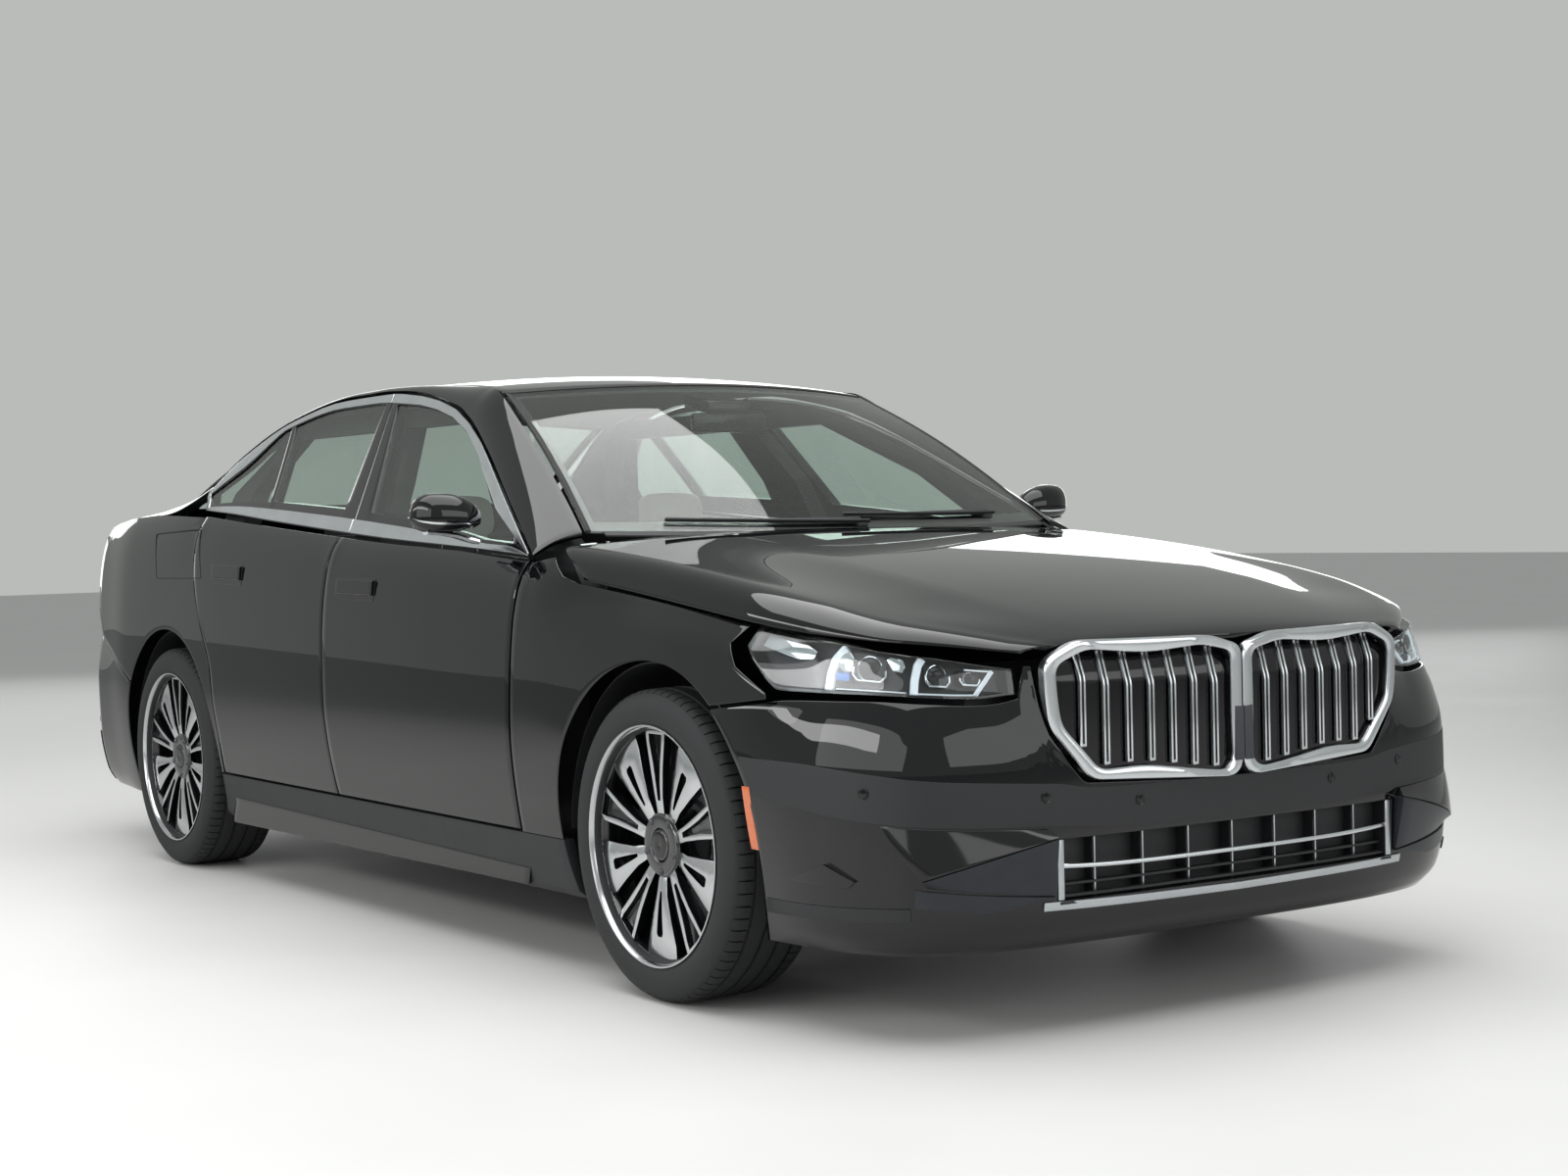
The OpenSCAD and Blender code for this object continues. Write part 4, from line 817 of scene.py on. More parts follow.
def finer(rows, n):
    """Rows of points made n times as many along a smooth line through each column."""
    g = np.array(rows, float)
    m = len(g)
    out = []
    for i in range(m - 1):
        a, b, c, d = g[max(0, i - 1)], g[i], g[i + 1], g[min(m - 1, i + 2)]
        for k in range(n):
            t = k / n
            out.append(
                0.5 * (
                    2 * b + (c - a) * t + (2 * a - 5 * b + 4 * c - d) * t * t + (3 * b - 3 * c + d - a) * t ** 3
                )
            )
    out.append(g[-1])
    return np.array(out)


def roof_pt(w, u):
    ye = lerp(-349, 1090, u)
    edge = (rail_x(ye), ye, rail_z(ye))
    yc = lerp(-445, 1100, u)
    return ((edge[0] - GAP) * w, lerp(yc, edge[1], w * w), lerp(roof_mid(yc), edge[2], abs(w) ** 2.2))


bonnet_mid = Curve([[-2530, 792], [-2440, 836], [-2200, 900], [-1900, 957], [-1540, 1008], [-1180, 1050]])
shut_z = Curve([[-2490, 781], [-2350, 806], [-2070, 836], [-1900, 856], [-1540, 900], [-1240, 936]])
crest_x = Curve(
    [[-2490, 440], [-2350, 610], [-2200, 722], [-2050, 764], [-1810, 790], [-1540, 797], [-1100, 798]]
)
edge_x = Curve(
    [[-2490, 524], [-2350, 702], [-2265, 785], [-2070, 846], [-1900, 862], [-1540, 862], [-1240, 868]]
)
crest_z = Curve(
    [
        [-2490, 800], [-2350, 838], [-2200, 872], [-2050, 905], [-1810, 945], [-1540, 982], [-1300, 1008],
        [-1100, 1026]
    ]
)
bonnet_front = Curve([[0, -2497], [0.3, -2493], [0.55, -2484], [0.8, -2470], [1, -2458]])
bonnet_rear = Curve([[0, -1186], [0.5, -1150], [0.85, -1098], [1, -1240]])
# creases of the bonnet: share of the half width and height of the raised middle
dome_w = Curve([[-2490, 0.7], [-2200, 0.62], [-1800, 0.6], [-1150, 0.56]])


def bonnet_pt(s, u):
    w = abs(s)
    rear = lerp(-1098, -1236, ease((w - 0.86) / 0.14)) if w > 0.86 else bonnet_rear(w)
    y = lerp(bonnet_front(w), rear, u)
    xc, zc, flat = crest_x(y), crest_z(y), 0.8
    if w <= flat:
        f = w / flat
        z = lerp(bonnet_mid(y), zc, f ** 2.2)
        c = dome_w(y)
        hollow = 9 * math.sin(math.pi * u) * ease((u - 0.02) / 0.2)
        z -= hollow * (math.sin(math.pi * min(1, max(0, (f - c) / (1 - c)))) if f > c else 0)
        return (math.copysign(xc * f, s), y, z)
    f = (w - flat) / (1 - flat)
    xe, ze = edge_x(y) - 2, shut_z(y) + GAP
    return (
        math.copysign(xc + (xe - xc) * math.sin(math.pi / 2 * f), s), y,
        ze + (zc - ze) * math.cos(math.pi / 2 * f)
    )


def boot_pt(w, u):
    x, t = w * DECK_SIDE, 0.42 * abs(w)
    if u < 0.5:
        f = u / 0.5
        return (
            x, lerp(1912 - 44 * w * w, tail(t, 1098)[1] - 6, f), lerp(1146 - 8 * w * w, 1100 - 8 * w * w, f)
        )
    z = lerp(1092, 790, (u - 0.5) / 0.5)
    return (x, tail(t, z)[1] - 2, z)


bumper_top = Curve(
    [
        [0, 502], [0.11, 517], [0.15, 521], [0.172, 523], [0.185, 541], [0.21, 592], [0.226, 626],
        [0.2365, 690], [0.2415, 765], [0.2515, 765], [0.264, 700], [0.33, 690], [0.45, 696], [0.6, 702],
        [0.8, 699], [0.87, 691], [0.94, 680], [1, 671]
    ]
)
INTAKE_LOW, INTAKE_HIGH, SKIRT_LOW = 285, 412, 182


def nose_end(z):
    return 8 / 9 + (FRONT - math.sqrt(ARCH**2 - (z - HUB) ** 2) + 2005) / 155 / 9


def bumper_pt(t, z):
    return nose(t if t < 0.5 else lerp(0.5, nose_end(z) - 0.003, (t - 0.5) * 2), z)


rear_top = Curve([[0, 781], [0.42, 781], [0.44, 812], [0.62, 816], [0.72, 812]])
tail_side = Curve([[1739, 584], [1920, 654], [2100, 724], [2168, 818]])


def rear_bumper_pt(t, f):
    low, k = SKIRT_LOW + 20, (t - 0.72) / 0.28
    y_side = lerp(2178, 1742, k)
    z = lerp(low, rear_top(t) if t < 0.72 else tail_side(y_side) - GAP, f)
    arch = REAR + math.sqrt(ARCH**2 - (min(z, 584) - HUB) ** 2) + 3
    if t < 0.72:
        return tail(t, z)
    y = max(arch, lerp(tail(0.72, z)[1], arch, k))
    return (side_x(y, z) + (tail(0.72, z)[0] - side_x(tail(0.72, z)[1], z)) * (1 - k), y, z)


def mirror_rows(half):
    """Half grid from the centre line outwards made whole."""
    return [[(-x, y, z) for x, y, z in r] for r in reversed(half[1:])] + list(half)


def build_shell():
    fender = relaxed(radial(FRONT, FENDER, 4, 14), 3)
    make(
        "front_fenders_skin", both(sheet(fender, np.array(fender) - [3, 0, 0], mats=(0, 0, 1))),
        [PAINT, INNER], "body", 1.6, replaces=["front_fenders"], slot="body_paint"
    )
    quarter = relaxed(radial(REAR, QUARTER, 4, 16), 3)
    rail = finer([rail_row(i, 8) for i in range(len(RAIL_LOW))], 4)
    depth = np.array(
        [
            [
                lerp(
                    RAIL_DEPTH[min(2, k * 3 // 8)][n], RAIL_DEPTH[min(2, k * 3 // 8) + 1][n],
                    k * 3 / 8 - min(2, k * 3 // 8)
                )
                for n in range(3)
            ]
            for k in range(9)
        ]
    )
    corner = [
        [(DECK_SIDE + GAP, lerp(2392, 2150, k), lerp(1094, 1113, k))] + [
            (max(DECK_SIDE + GAP + 2, p[0]), p[1], z) for z in (1088, 1066, 1045, 1010, 974)
            for p in [tail(lerp(0.4, 0.8, k), z)]
        ]
        for k in steps(0, 1, 24)
    ]
    sides = sheet(
        quarter, np.array(quarter) - [4, 0, 0], mats=(0, 0, 1)
    ).join(sheet(rail, rail + depth, mats=(0, 0, 1))).join(skin(corner, 4))
    make(
        "body_sides_skin", both(sides), [PAINT, INNER], "body", 1.6, replaces=["body_sides"],
        slot="body_paint"
    )
    roof = relaxed([[roof_pt(w, u) for u in steps(0, 1, 40)] for w in steps(-1, 1, 40)], 4)
    make(
        "roof_skin", sheet(roof, roof - [0, 0, 20], mats=(0, 0, 1)), [PAINT, LINING], "body", 2,
        replaces=["roof_panel"], slot="body_paint"
    )
    ws = steps(0, 0.76, 22) + steps(0.8, 1, 14)
    ws = [-w for w in reversed(ws[1:])] + ws
    lid = [[bonnet_pt(w, u) for u in steps(0, 1, 44)] for w in ws]
    under = [
        [
            np.array(bonnet_pt(w, u)) - [
                math.copysign(12 if abs(w) > 0.8 else 0, w), 0, 2 if abs(w) > 0.86 else 10
            ]
            for u in steps(0, 1, 44)
        ]
        for w in ws
    ]
    make(
        "bonnet_skin", sheet(lid, under, mats=(0, 0, 1)), [PAINT, INNER], "bonnet", 1.6,
        replaces=["bonnet"], slot="body_paint", turn=34
    )
    us = steps(0, 0.499, 12) + steps(0.5, 1, 22)
    boot = [[boot_pt(w, u) for u in us] for w in steps(-1, 1, 40)]
    boot_back = [
        [
            np.array(boot_pt(w, u)) - ([0, 0, 6] if u < 0.49 else [0, 6, 6] if u < 0.51 else [0, 6, 0])
            for u in us
        ]
        for w in steps(-1, 1, 40)
    ]
    make(
        "boot_lid_skin", sheet(boot, boot_back, mats=(0, 0, 1)), [PAINT, INNER], "boot_lid", 3, segments=3,
        replaces=["boot_lid"], slot="body_paint"
    )
    # front bumper: rows held on the intake's edges
    ts = [0] + steps(0.03, 0.172, 10) + [
        0.178, 0.185, 0.193, 0.2, 0.21, 0.218, 0.226, 0.231, 0.2365, 0.2415, 0.2465, 0.2515, 0.2575, 0.264
    ] + steps(0.28, 1, 56)
    wall = []
    for t in ts:
        rows = [
            SKIRT_LOW + 3, 200, 215, 230, 250, 268, INTAKE_LOW
        ] + steps(INTAKE_LOW, INTAKE_HIGH, 8)[1:] + [430, 450, 470] + steps(480, bumper_top(t), 14)
        wall.append([bumper_pt(t, z) for z in rows])
    wall = mirror_rows(wall)
    g = np.array(wall)
    depth = []
    for r in wall:
        x, y = r[5][0], r[5][1]
        side = min(1, max(0, (abs(x) - 500) / 380))
        depth.append([-math.copysign(side, x) * 8, 8 * (1 - side), 0])
    centre = len(ts) - 1
    reach = len([t for t in ts if bumper_pt(t, 350)[0] < 498]) - 1
    hole = (centre - reach, centre + reach, 6, 14)
    make(
        "front_bumper_skin", sheet(g, g + np.array(depth)[:, None, :], [hole], mats=(0, 0, 1)),
        [PAINT, INNER], "body", 1.6, replaces=["front_bumper"], slot="body_paint", turn=50
    )
    half = [[rear_bumper_pt(t, f) for f in steps(0, 1, 28)] for t in steps(0, 0.72, 36) + steps(0.73, 1, 18)]
    g = np.array(mirror_rows(half))
    side = np.clip((np.abs(g[:, :1, :1]) - 500) / 380, 0, 1)
    inward = np.concatenate([-np.sign(g[:, :1, :1]) * side * 8, -(1 - side) * 8, side * 0], axis=2)
    make(
        "rear_bumper_skin", sheet(g, g + inward, mats=(0, 0, 1)), [PAINT, INNER], "body", 1.6,
        replaces=["rear_bumper"], slot="body_paint", turn=50
    )
    # side skirts
    def skirt(f, z):
        reach = math.sqrt(ARCH**2 - (HUB - z) ** 2)
        y = lerp(FRONT + reach, REAR - reach, f)
        return np.array(side_pt(y, z)) + [-20 * ease((205 - z) / 23), 0, 0]
    sill = [[skirt(f, z) for z in [182, 188, 196, 205] + steps(212, 326, 10)] for f in steps(0, 1, 60)]
    make(
        "side_skirts_skin", both(sheet(sill, np.array(sill) - [30, 0, 0])), GRAINED, "body", 2,
        replaces=["side_skirts"], slot="skirt_plastic"
    )


# Screens
def screen_pt(low, low_side, high, high_side, bulge, w, u):
    a = (low_side[0] * w, lerp(low[1], low_side[1], w * w), lerp(low[2], low_side[2], w * w))
    b = (high_side[0] * w, lerp(high[1], high_side[1], w * w), lerp(high[2], high_side[2], w * w))
    p = [lerp(a[k], b[k], u) for k in range(3)]
    p[2] += bulge * math.sin(math.pi * u)
    return p


def windscreen_pt(w, u):
    return screen_pt((0, -1150, 1046), (738, -1020, 1058), (0, -449, 1460), (598, -356, 1436), 26, w, u)


def rear_window_pt(w, u):
    p = screen_pt((0, 1900, 1146), (700, 1856, 1140), (0, 1104, 1440), (552, 1096, 1414), 22, w, u)
    p[0] += 14 * w * math.sin(math.pi * u)
    return p


def build_screens():
    for name, fn, node, border, sign in (
        ("windscreen_sheet", windscreen_pt, "windscreen", (0.045, 0.06, 0.05), 1),
        ("rear_window_sheet", rear_window_pt, "rear_window", (0.06, 0.07, 0.05), 1)
    ):
        g = np.array([[fn(w, u) for u in steps(0, 1, 24)] for w in steps(-1, 1, 32)])
        make(name, sheet(g, g - [0, 0, 5]), SCREEN_GLASS, "body", replaces=[node], slot="screen_glass")
        ws = [-1] + steps(-1 + border[0], 1 - border[0], 30) + [1]
        us = [0] + steps(border[1], 1 - border[2], 22) + [1]
        f = np.array([[fn(w, u) for u in us] for w in ws]) - [0, 0, 5.3]
        make(node + "_frit", sheet(f, f - [0, 0, 0.6], [(1, len(ws) - 2, 1, len(us) - 2)]), FRIT, "body")


# Things that repeat round an axle: a node tree sets the copies, and the result is kept as a plain mesh
def ring_tree():
    tree = bpy.data.node_groups.new("copies_round_axle", "GeometryNodeTree")
    face = tree.interface
    shape = face.new_socket("Shape", in_out="INPUT", socket_type="NodeSocketGeometry")
    count = face.new_socket("Count", in_out="INPUT", socket_type="NodeSocketInt")
    turn = face.new_socket("Turn", in_out="INPUT", socket_type="NodeSocketFloat")
    skin_of = face.new_socket("Material", in_out="INPUT", socket_type="NodeSocketMaterial")
    face.new_socket("Shape", in_out="OUTPUT", socket_type="NodeSocketGeometry")
    given = add(tree, "NodeGroupInput").outputs
    points = add(tree, "GeometryNodePoints", None, {"Count": given["Count"]}).outputs[0]
    index = add(tree, "GeometryNodeInputIndex").outputs[0]
    angle = add(tree, "ShaderNodeMath", None, {0: index, 1: given["Turn"]}, operation="MULTIPLY").outputs[0]
    spin = add(tree, "ShaderNodeCombineXYZ", None, {"X": angle}).outputs[0]
    links = {"Points": points, "Instance": given["Shape"], "Rotation": spin}
    copies = add(tree, "GeometryNodeInstanceOnPoints", None, links).outputs[0]
    real = add(tree, "GeometryNodeRealizeInstances", None, {0: copies}).outputs[0]
    dressed = add(
        tree, "GeometryNodeSetMaterial", None, {"Geometry": real, "Material": given["Material"]}
    ).outputs[0]
    add(tree, "NodeGroupOutput", None, {0: dressed})
    return tree, count.identifier, turn.identifier, skin_of.identifier


RING_TREE = ring_tree()


def ringed(solid, count, mat, number=0):
    """The shape repeated round the X axis, with one material number."""
    tree, count_id, turn_id, mat_id = RING_TREE
    mesh = bpy.data.meshes.new("sector")
    mesh.from_pydata([(x * MM, y * MM, z * MM) for x, y, z in solid.v], [], solid.f)
    obj = bpy.data.objects.new("sector", mesh)
    bpy.context.scene.collection.objects.link(obj)
    ring = obj.modifiers.new("copies", "NODES")
    ring.node_group = tree
    ring[count_id] = count
    ring[turn_id] = 2 * math.pi / count
    ring[mat_id] = mat
    shape = obj.evaluated_get(bpy.context.evaluated_depsgraph_get())
    whole = bpy.data.meshes.new_from_object(shape)
    points = [tuple(c / MM for c in v.co) for v in whole.vertices]
    faces = [tuple(p.vertices) for p in whole.polygons]
    bpy.data.objects.remove(obj)
    return Solid().add(points, faces, number)


# Wheels: built about the origin, with the axle along X and the street side at +X
RIM, TYRE, HALF_W, BOLTS = 272, 352, 122.5, 60


def flat(u, v, a):
    """Point of the wheel face: u outwards along a spoke, v across it, a along the axle."""
    return (a, v, u)


def framed(outer, inner, face, floor, back):
    """Frame round a pocket: outline points [out, across, drop]; face, pocket floor and back along the axle."""
    n = len(outer)
    s = Solid()
    p = [flat(u, v, face - d) for u, v, d in outer] + [flat(u, v, face - d) for u, v, d in inner]
    p += [flat(u, v, floor - d) for u, v, d in inner] + [flat(u, v, back) for u, v, d in outer]
    ring = range(n)
    s.add(p, [])
    s.f += [(i, (i + 1) % n, n + (i + 1) % n, n + i) for i in ring]
    s.m += [0] * n
    s.f += [(n + i, n + (i + 1) % n, 2 * n + (i + 1) % n, 2 * n + i) for i in ring]
    s.f += [tuple(2 * n + i for i in ring)]
    s.f += [(3 * n + i, 3 * n + (i + 1) % n, (i + 1) % n, i) for i in ring]
    s.f += [tuple(3 * n + i for i in reversed(ring))]
    s.m += [1] * (2 * n + 2)
    return s


def holed(outer, inner, face, back):
    """Blade with a window right through it."""
    n = len(outer)
    p = [flat(u, v, face - d) for u, v, d in outer] + [flat(u, v, face - d) for u, v, d in inner]
    p += [flat(u, v, back) for u, v, d in inner] + [flat(u, v, back) for u, v, d in outer]
    ring = range(n)
    s = Solid().add(p, [])
    for a, b, mat in ((0, 1, 0), (1, 2, 1), (2, 3, 1), (3, 0, 1)):
        s.f += [(a * n + i, a * n + (i + 1) % n, b * n + (i + 1) % n, b * n + i) for i in ring]
        s.m += [mat] * n
    return s


def split(solid, number):
    """Only the faces with one material number."""
    part = Solid()
    part.v = solid.v
    part.f = [f for f, m in zip(solid.f, solid.m) if m == number]
    part.m = [0] * len(part.f)
    return part


def around(r, angle, a):
    return (a, r * math.sin(angle), r * math.cos(angle))


def spun(solid, angle):
    c, s = math.cos(angle), math.sin(angle)
    solid.v = [(x, y * c - z * s, y * s + z * c) for x, y, z in solid.v]
    return solid


def wheel_shapes():
    """Twin-colour wheel: five framed spokes with a black pocket and five broad turned blades with a window."""
    half = [(64, -13, 12), (110, -16, 6), (170, -25, 2), (232, -37, 0), (262, -42, 0)]
    frame_out = half + [(u, -v, d) for u, v, d in reversed(half)]
    half = [(100, -6, 7), (140, -9, 4), (184, -15, 2), (232, -26, 0), (250, -28, 0)]
    frame_in = half + [(u, -v, d) for u, v, d in reversed(half)]
    spoke = framed(frame_out, frame_in, 97, 80, 66)
    half = [(70, -15, 13), (112, -22, 8), (168, -40, 6), (222, -59, 6), (262, -62, 6)]
    blade_out = half + [(u, -v, d) for u, v, d in reversed(half)]
    half = [(104, -3.5, 6), (132, -7, 3), (164, -10, 1), (198, -13, 0), (206, -9, 0)]
    blade_in = half + [(u, -v, d) for u, v, d in reversed(half)]
    blade = spun(holed(blade_out, blade_in, 97, 70), math.pi / 5)
    bright = ringed(split(spoke, 0), 5, ANODISED, 0).join(ringed(split(blade, 0), 5, ANODISED, 0))
    dark = ringed(split(spoke, 1), 5, DARK_ALLOY, 1).join(ringed(split(blade, 1), 5, DARK_ALLOY, 1))
    lip = lathe(
        [
            (258, 92), (262, 98), (263.5, 111), (268, 118.5), (271.6, 118.5), (271.6, 114), (262.5, 100),
            (258, 86)
        ],
        120, around
    )
    barrel = lathe(
        [(246, -106), (261, -108), (262, -60), (262, 90), (257, 92), (250, 66), (246, 20)], 120, around
    )
    barrel.m = [1] * len(barrel.f)
    hub = lathe([(20, 60), (74, 60), (74, 84), (68, 90), (40, 91), (36, 84), (20, 84)], 60, around)
    hub.m = [1] * len(hub.f)
    well = lathe(
        [(5, 92), (9, 92), (9, 86), (5, 86)], 16, lambda r, t,
        a: (a, r * math.sin(t), BOLTS + r * math.cos(t))
    )
    head = lathe(
        [(0.4, 88), (6.5, 88), (6.5, 90), (5, 95), (0.4, 95)], 6, lambda r, t,
        a: (a, r * math.sin(t), BOLTS + r * math.cos(t))
    )
    bolts = ringed(spun(well.join(head), math.pi / 5), 5, CAST, 2)
    cap = lathe([(0.4, 84), (35, 84), (35, 90), (32, 92.5), (0.4, 94)], 48, around)
    cap.m = [3] * len(cap.f)
    disc = lathe(
        [
            (76, -27), (176, -27), (176, -20), (168, -19), (168, -11), (176, -10), (176, -3), (96, -3),
            (90, 10), (76, 10)
        ],
        72, around
    )
    disc.m = [4] * len(disc.f)
    return bright.join(dark).join(lip).join(barrel).join(hub).join(bolts).join(cap).join(disc)


def tyre_shape():
    side = [
        (262, 108), (276, 116), (284, 119.5), (292, 121), (308, 121.8), (322, 119), (334, 112.5),
        (341, 106), (344.5, 96)
    ]
    tread = [(345, 69), (345, 62), (351.4, 60), (351.8, 27), (345, 25.6), (345, 18.4), (352, 17)]
    half = side + tread
    profile = half + [(r, -a) for r, a in reversed(half)] + [(258, -100), (258, 100)]
    body = lathe(profile, 144, around)
    blocks = Solid()
    for sign in (-1, 1):
        low = [(70, 344), (104, 338)]
        high = [(70, 351.2), (88, 350.4), (98, 348), (106, 343)]
        outline = [(a, r) for a, r in low[:1] + high + low[1:]]
        wide = 0.0355
        p = [around(r, t, sign * a) for t in (-wide, wide) for a, r in outline]
        n = len(outline)
        faces = [tuple(range(n)), tuple(reversed(range(n, 2 * n)))] + [
            (i, (i + 1) % n, n + (i + 1) % n, n + i) for i in range(n)
        ]
        blocks.join(ringed(Solid().add(p, faces), 76, RUBBER))
    return body, blocks


def build_wheels():
    wheel = wheel_shapes()
    body, blocks = tyre_shape()
    for axle, y in (("front", FRONT), ("rear", REAR)):
        for side, sign in (("left", 1), ("right", -1)):
            def placed(solid, mirror=sign, y=y):
                out = Solid().join(solid) if mirror > 0 else solid.mirrored()
                out.v = [(p[0] + mirror * TRACK, p[1] + y, p[2] + HUB) for p in out.v]
                return out
            ride = f"wheel_{axle}_{side}"
            bright = turned(f"turned_alloy_{axle}_{side}", (0, y * MM, HUB * MM))
            mats = [bright, DARK_ALLOY, CAST, PIANO, IRON]
            make(
                f"wheel_face_{axle}_{side}", placed(wheel), mats, ride, 0.8,
                replaces=[f"rim_{axle}_{side}"], slot="wheel_alloy", turn=32
            )
            rubber = placed(body).join(placed(blocks))
            make(
                f"tyre_tread_{axle}_{side}", rubber, RUBBER, ride, replaces=[f"tyre_{axle}_{side}"],
                slot="tyre_rubber", turn=50, weld=False
            )


# Outlines, strips and patches
def rounded(line, r, k=5):
    """Outline with its corners rounded."""
    out = []
    p = [np.array(q, float) for q in line]
    for i in range(len(p)):
        before, here, after = p[i - 1], p[i], p[(i + 1) % len(p)]
        a = here + (before - here) * min(0.45, r / np.linalg.norm(before - here))
        b = here + (after - here) * min(0.45, r / np.linalg.norm(after - here))
        out += [(1 - t) ** 2 * a + 2 * t * (1 - t) * here + t * t * b for t in steps(0, 1, k)]
    return out


def dense(line, step, closed=True):
    """Line with points added where they stand further apart than a step."""
    out = []
    p = [np.array(q, float) for q in line]
    for i in range(len(p) if closed else len(p) - 1):
        a, b = p[i], p[(i + 1) % len(p)]
        parts = max(1, math.ceil(np.linalg.norm(b - a) / step))
        out += [lerp(a, b, k / parts) for k in range(parts)]
    return out if closed else out + [p[-1]]


def tube(loops, mats=None):
    """Ring shape through closed loops of equally many points, the last joined to the first."""
    n, m = len(loops[0]), len(loops)
    s = Solid().add([q for loop in loops for q in loop], [])
    for a in range(m):
        b = (a + 1) % m
        s.f += [(a * n + i, a * n + (i + 1) % n, b * n + (i + 1) % n, b * n + i) for i in range(n)]
        s.m += [mats[a] if mats else 0] * n
    return s


def ribbon(path, wide, high, up, sink=0.0):
    """Bar with a rectangular section and slightly crowned face along a path."""
    w = wide / 2
    return sweep(
        path,
        [(-w, -sink), (w, -sink), (w, high * 0.75), (w * 0.7, high), (-w * 0.7, high), (-w, high * 0.75)],
        up
    )


def patch(fn, corners, proud, m=12, n=6, sink=2.0):
    """Panel on a surface between four corners given in its own two numbers; proud: one height, or one a corner."""
    a, b, c, d = [np.array(q, float) for q in corners]
    high = proud if isinstance(proud, (list, tuple)) else [proud] * 4
    us, vs = steps(0, 1, m), steps(0, 1, n)
    g = np.array([[fn(*lerp(lerp(a, d, u), lerp(b, c, u), v)) for v in vs] for u in us])
    out = normals(g)
    if (out[m // 2, n // 2] @ (g[m // 2, n // 2] - [0, 0, 500])) < 0:
        out = -out
    h = np.array(
        [[lerp(lerp(high[0], high[3], u), lerp(high[1], high[2], u), v) for v in vs] for u in us]
    )[:, :, None]
    return sheet(g + out * h, g - out * sink)


def facing(direction):
    """Two directions square to one that points outwards: level, and upwards."""
    o = np.array(direction, float)
    o /= np.linalg.norm(o)
    u = np.cross((0, 0, 1), o)
    u /= np.linalg.norm(u)
    return o, u, np.cross(o, u)


def dial(centre, direction, profile, n=40):
    """Round part with its axis along a direction; profile [(radius, height)] closed."""
    o, u, w = facing(direction)
    c = np.array(centre, float)
    return lathe(profile, n, lambda r, t, a: c + o * a + u * (r * math.cos(t)) + w * (r * math.sin(t)))


# Air grilles
RING = [[2, 528], [2, 787], [90, 811], [440, 815], [519, 777], [516, 700], [508, 640], [410, 527], [30, 507]]
RING_FACE, NOSE_BOW = -2530, 3560
RING_CENTRE = np.array([266, 662.0])


def ring_y(x, depth):
    return RING_FACE + NOSE_BOW + depth - math.sqrt(NOSE_BOW**2 - x * x)


def shrunk(line, d):
    return [RING_CENTRE + (p - RING_CENTRE) * (1 - d / np.linalg.norm(p - RING_CENTRE)) for p in line]


def span(line, x):
    """Lowest and highest point of an outline at a distance from the centre line."""
    hits = []
    for i in range(len(line)):
        a, b = line[i], line[(i + 1) % len(line)]
        if min(a[0], b[0]) <= x <= max(a[0], b[0]) and abs(a[0] - b[0]) > 1e-6:
            hits.append(lerp(a[1], b[1], (x - a[0]) / (b[0] - a[0])))
    return min(hits), max(hits)


def build_grille():
    line = dense(rounded(RING, 26), 24)
    rows = [(0, 22), (0.2, 5), (2.5, 1.6), (7, 0), (22, 0.6), (28.5, 3.5), (30.5, 8), (32, 22)]
    loops = [[(p[0], ring_y(p[0], depth), p[1]) for p in shrunk(line, d)] for d, depth in rows]
    ring = tube(loops, [0, 0, 0, 0, 0, 0, 1, 1])
    make(
        "grille_rings", both(ring), [CHROME, PIANO], "body", 0, replaces=["grilles"], slot="ring_metal",
        turn=28
    )
    inner = shrunk(line, 31)
    left, right = min(p[0] for p in inner) + 0.6, max(p[0] for p in inner) - 0.6
    plate, bars, cores = [], Solid(), Solid()
    for x in steps(left, right, 44):
        low, high = span(inner, x)
        plate.append(
            [(x, ring_y(x, 17 + 34 * max(0, (z - 735) / 80) ** 1.2), z) for z in steps(low, high, 18)]
        )
    for x in [76.5 + 58 * k for k in range(7)]:
        low, high = span(inner, x)
        low, high = low + 9, high + 1
        bend = high - 0.27 * (high - low)
        path = [
            (x, ring_y(x, 9), low), (x, ring_y(x, 9), lerp(low, bend, 0.5)), (x, ring_y(x, 9), bend - 10),
            (x, ring_y(x, 10.5), bend), (x, ring_y(x, 14), bend + 10), (x, ring_y(x, 30), high)
        ]
        for side in (-5.4, 5.4):
            shifted = [(x + side, y, z) for x, y, z in path]
            bars.join(ribbon(shifted, 4.6, 4, (0, -1, 0), 5))
        bars.join(box((x - 7.6, x + 7.6), (ring_y(x, 5.4), ring_y(x, 13)), (low - 2, low + 4)))
        cores.join(ribbon(path, 8, 1.5, (0, -1, 0), 6))
    make("grille_bars", both(bars), CHROME, "body", 0.5, segments=1)
    make("grille_bar_cores", both(cores), PIANO, "body")
    make("grille_backing", both(sheet(plate, np.array(plate) + [0, 5, 0])), PIANO, "body")
    bridge = patch(
        lambda x, z: (x, ring_y(x, 0), z), [(1, 541), (1, 655), (25, 657), (27, 541)], 0.8, 4, 4, 1
    )
    make("grille_bridge_insert", both(bridge), CAST, "body", 0.6)


# Lower intake, lip and corner facets
def front_y(x, z):
    """Bumper face at a distance from the centre line."""
    low, high = 0.0, 0.9
    for _ in range(24):
        t = (low + high) / 2
        low, high = (t, high) if bumper_pt(t, z)[0] < abs(x) else (low, t)
    return bumper_pt(t, z)[1]


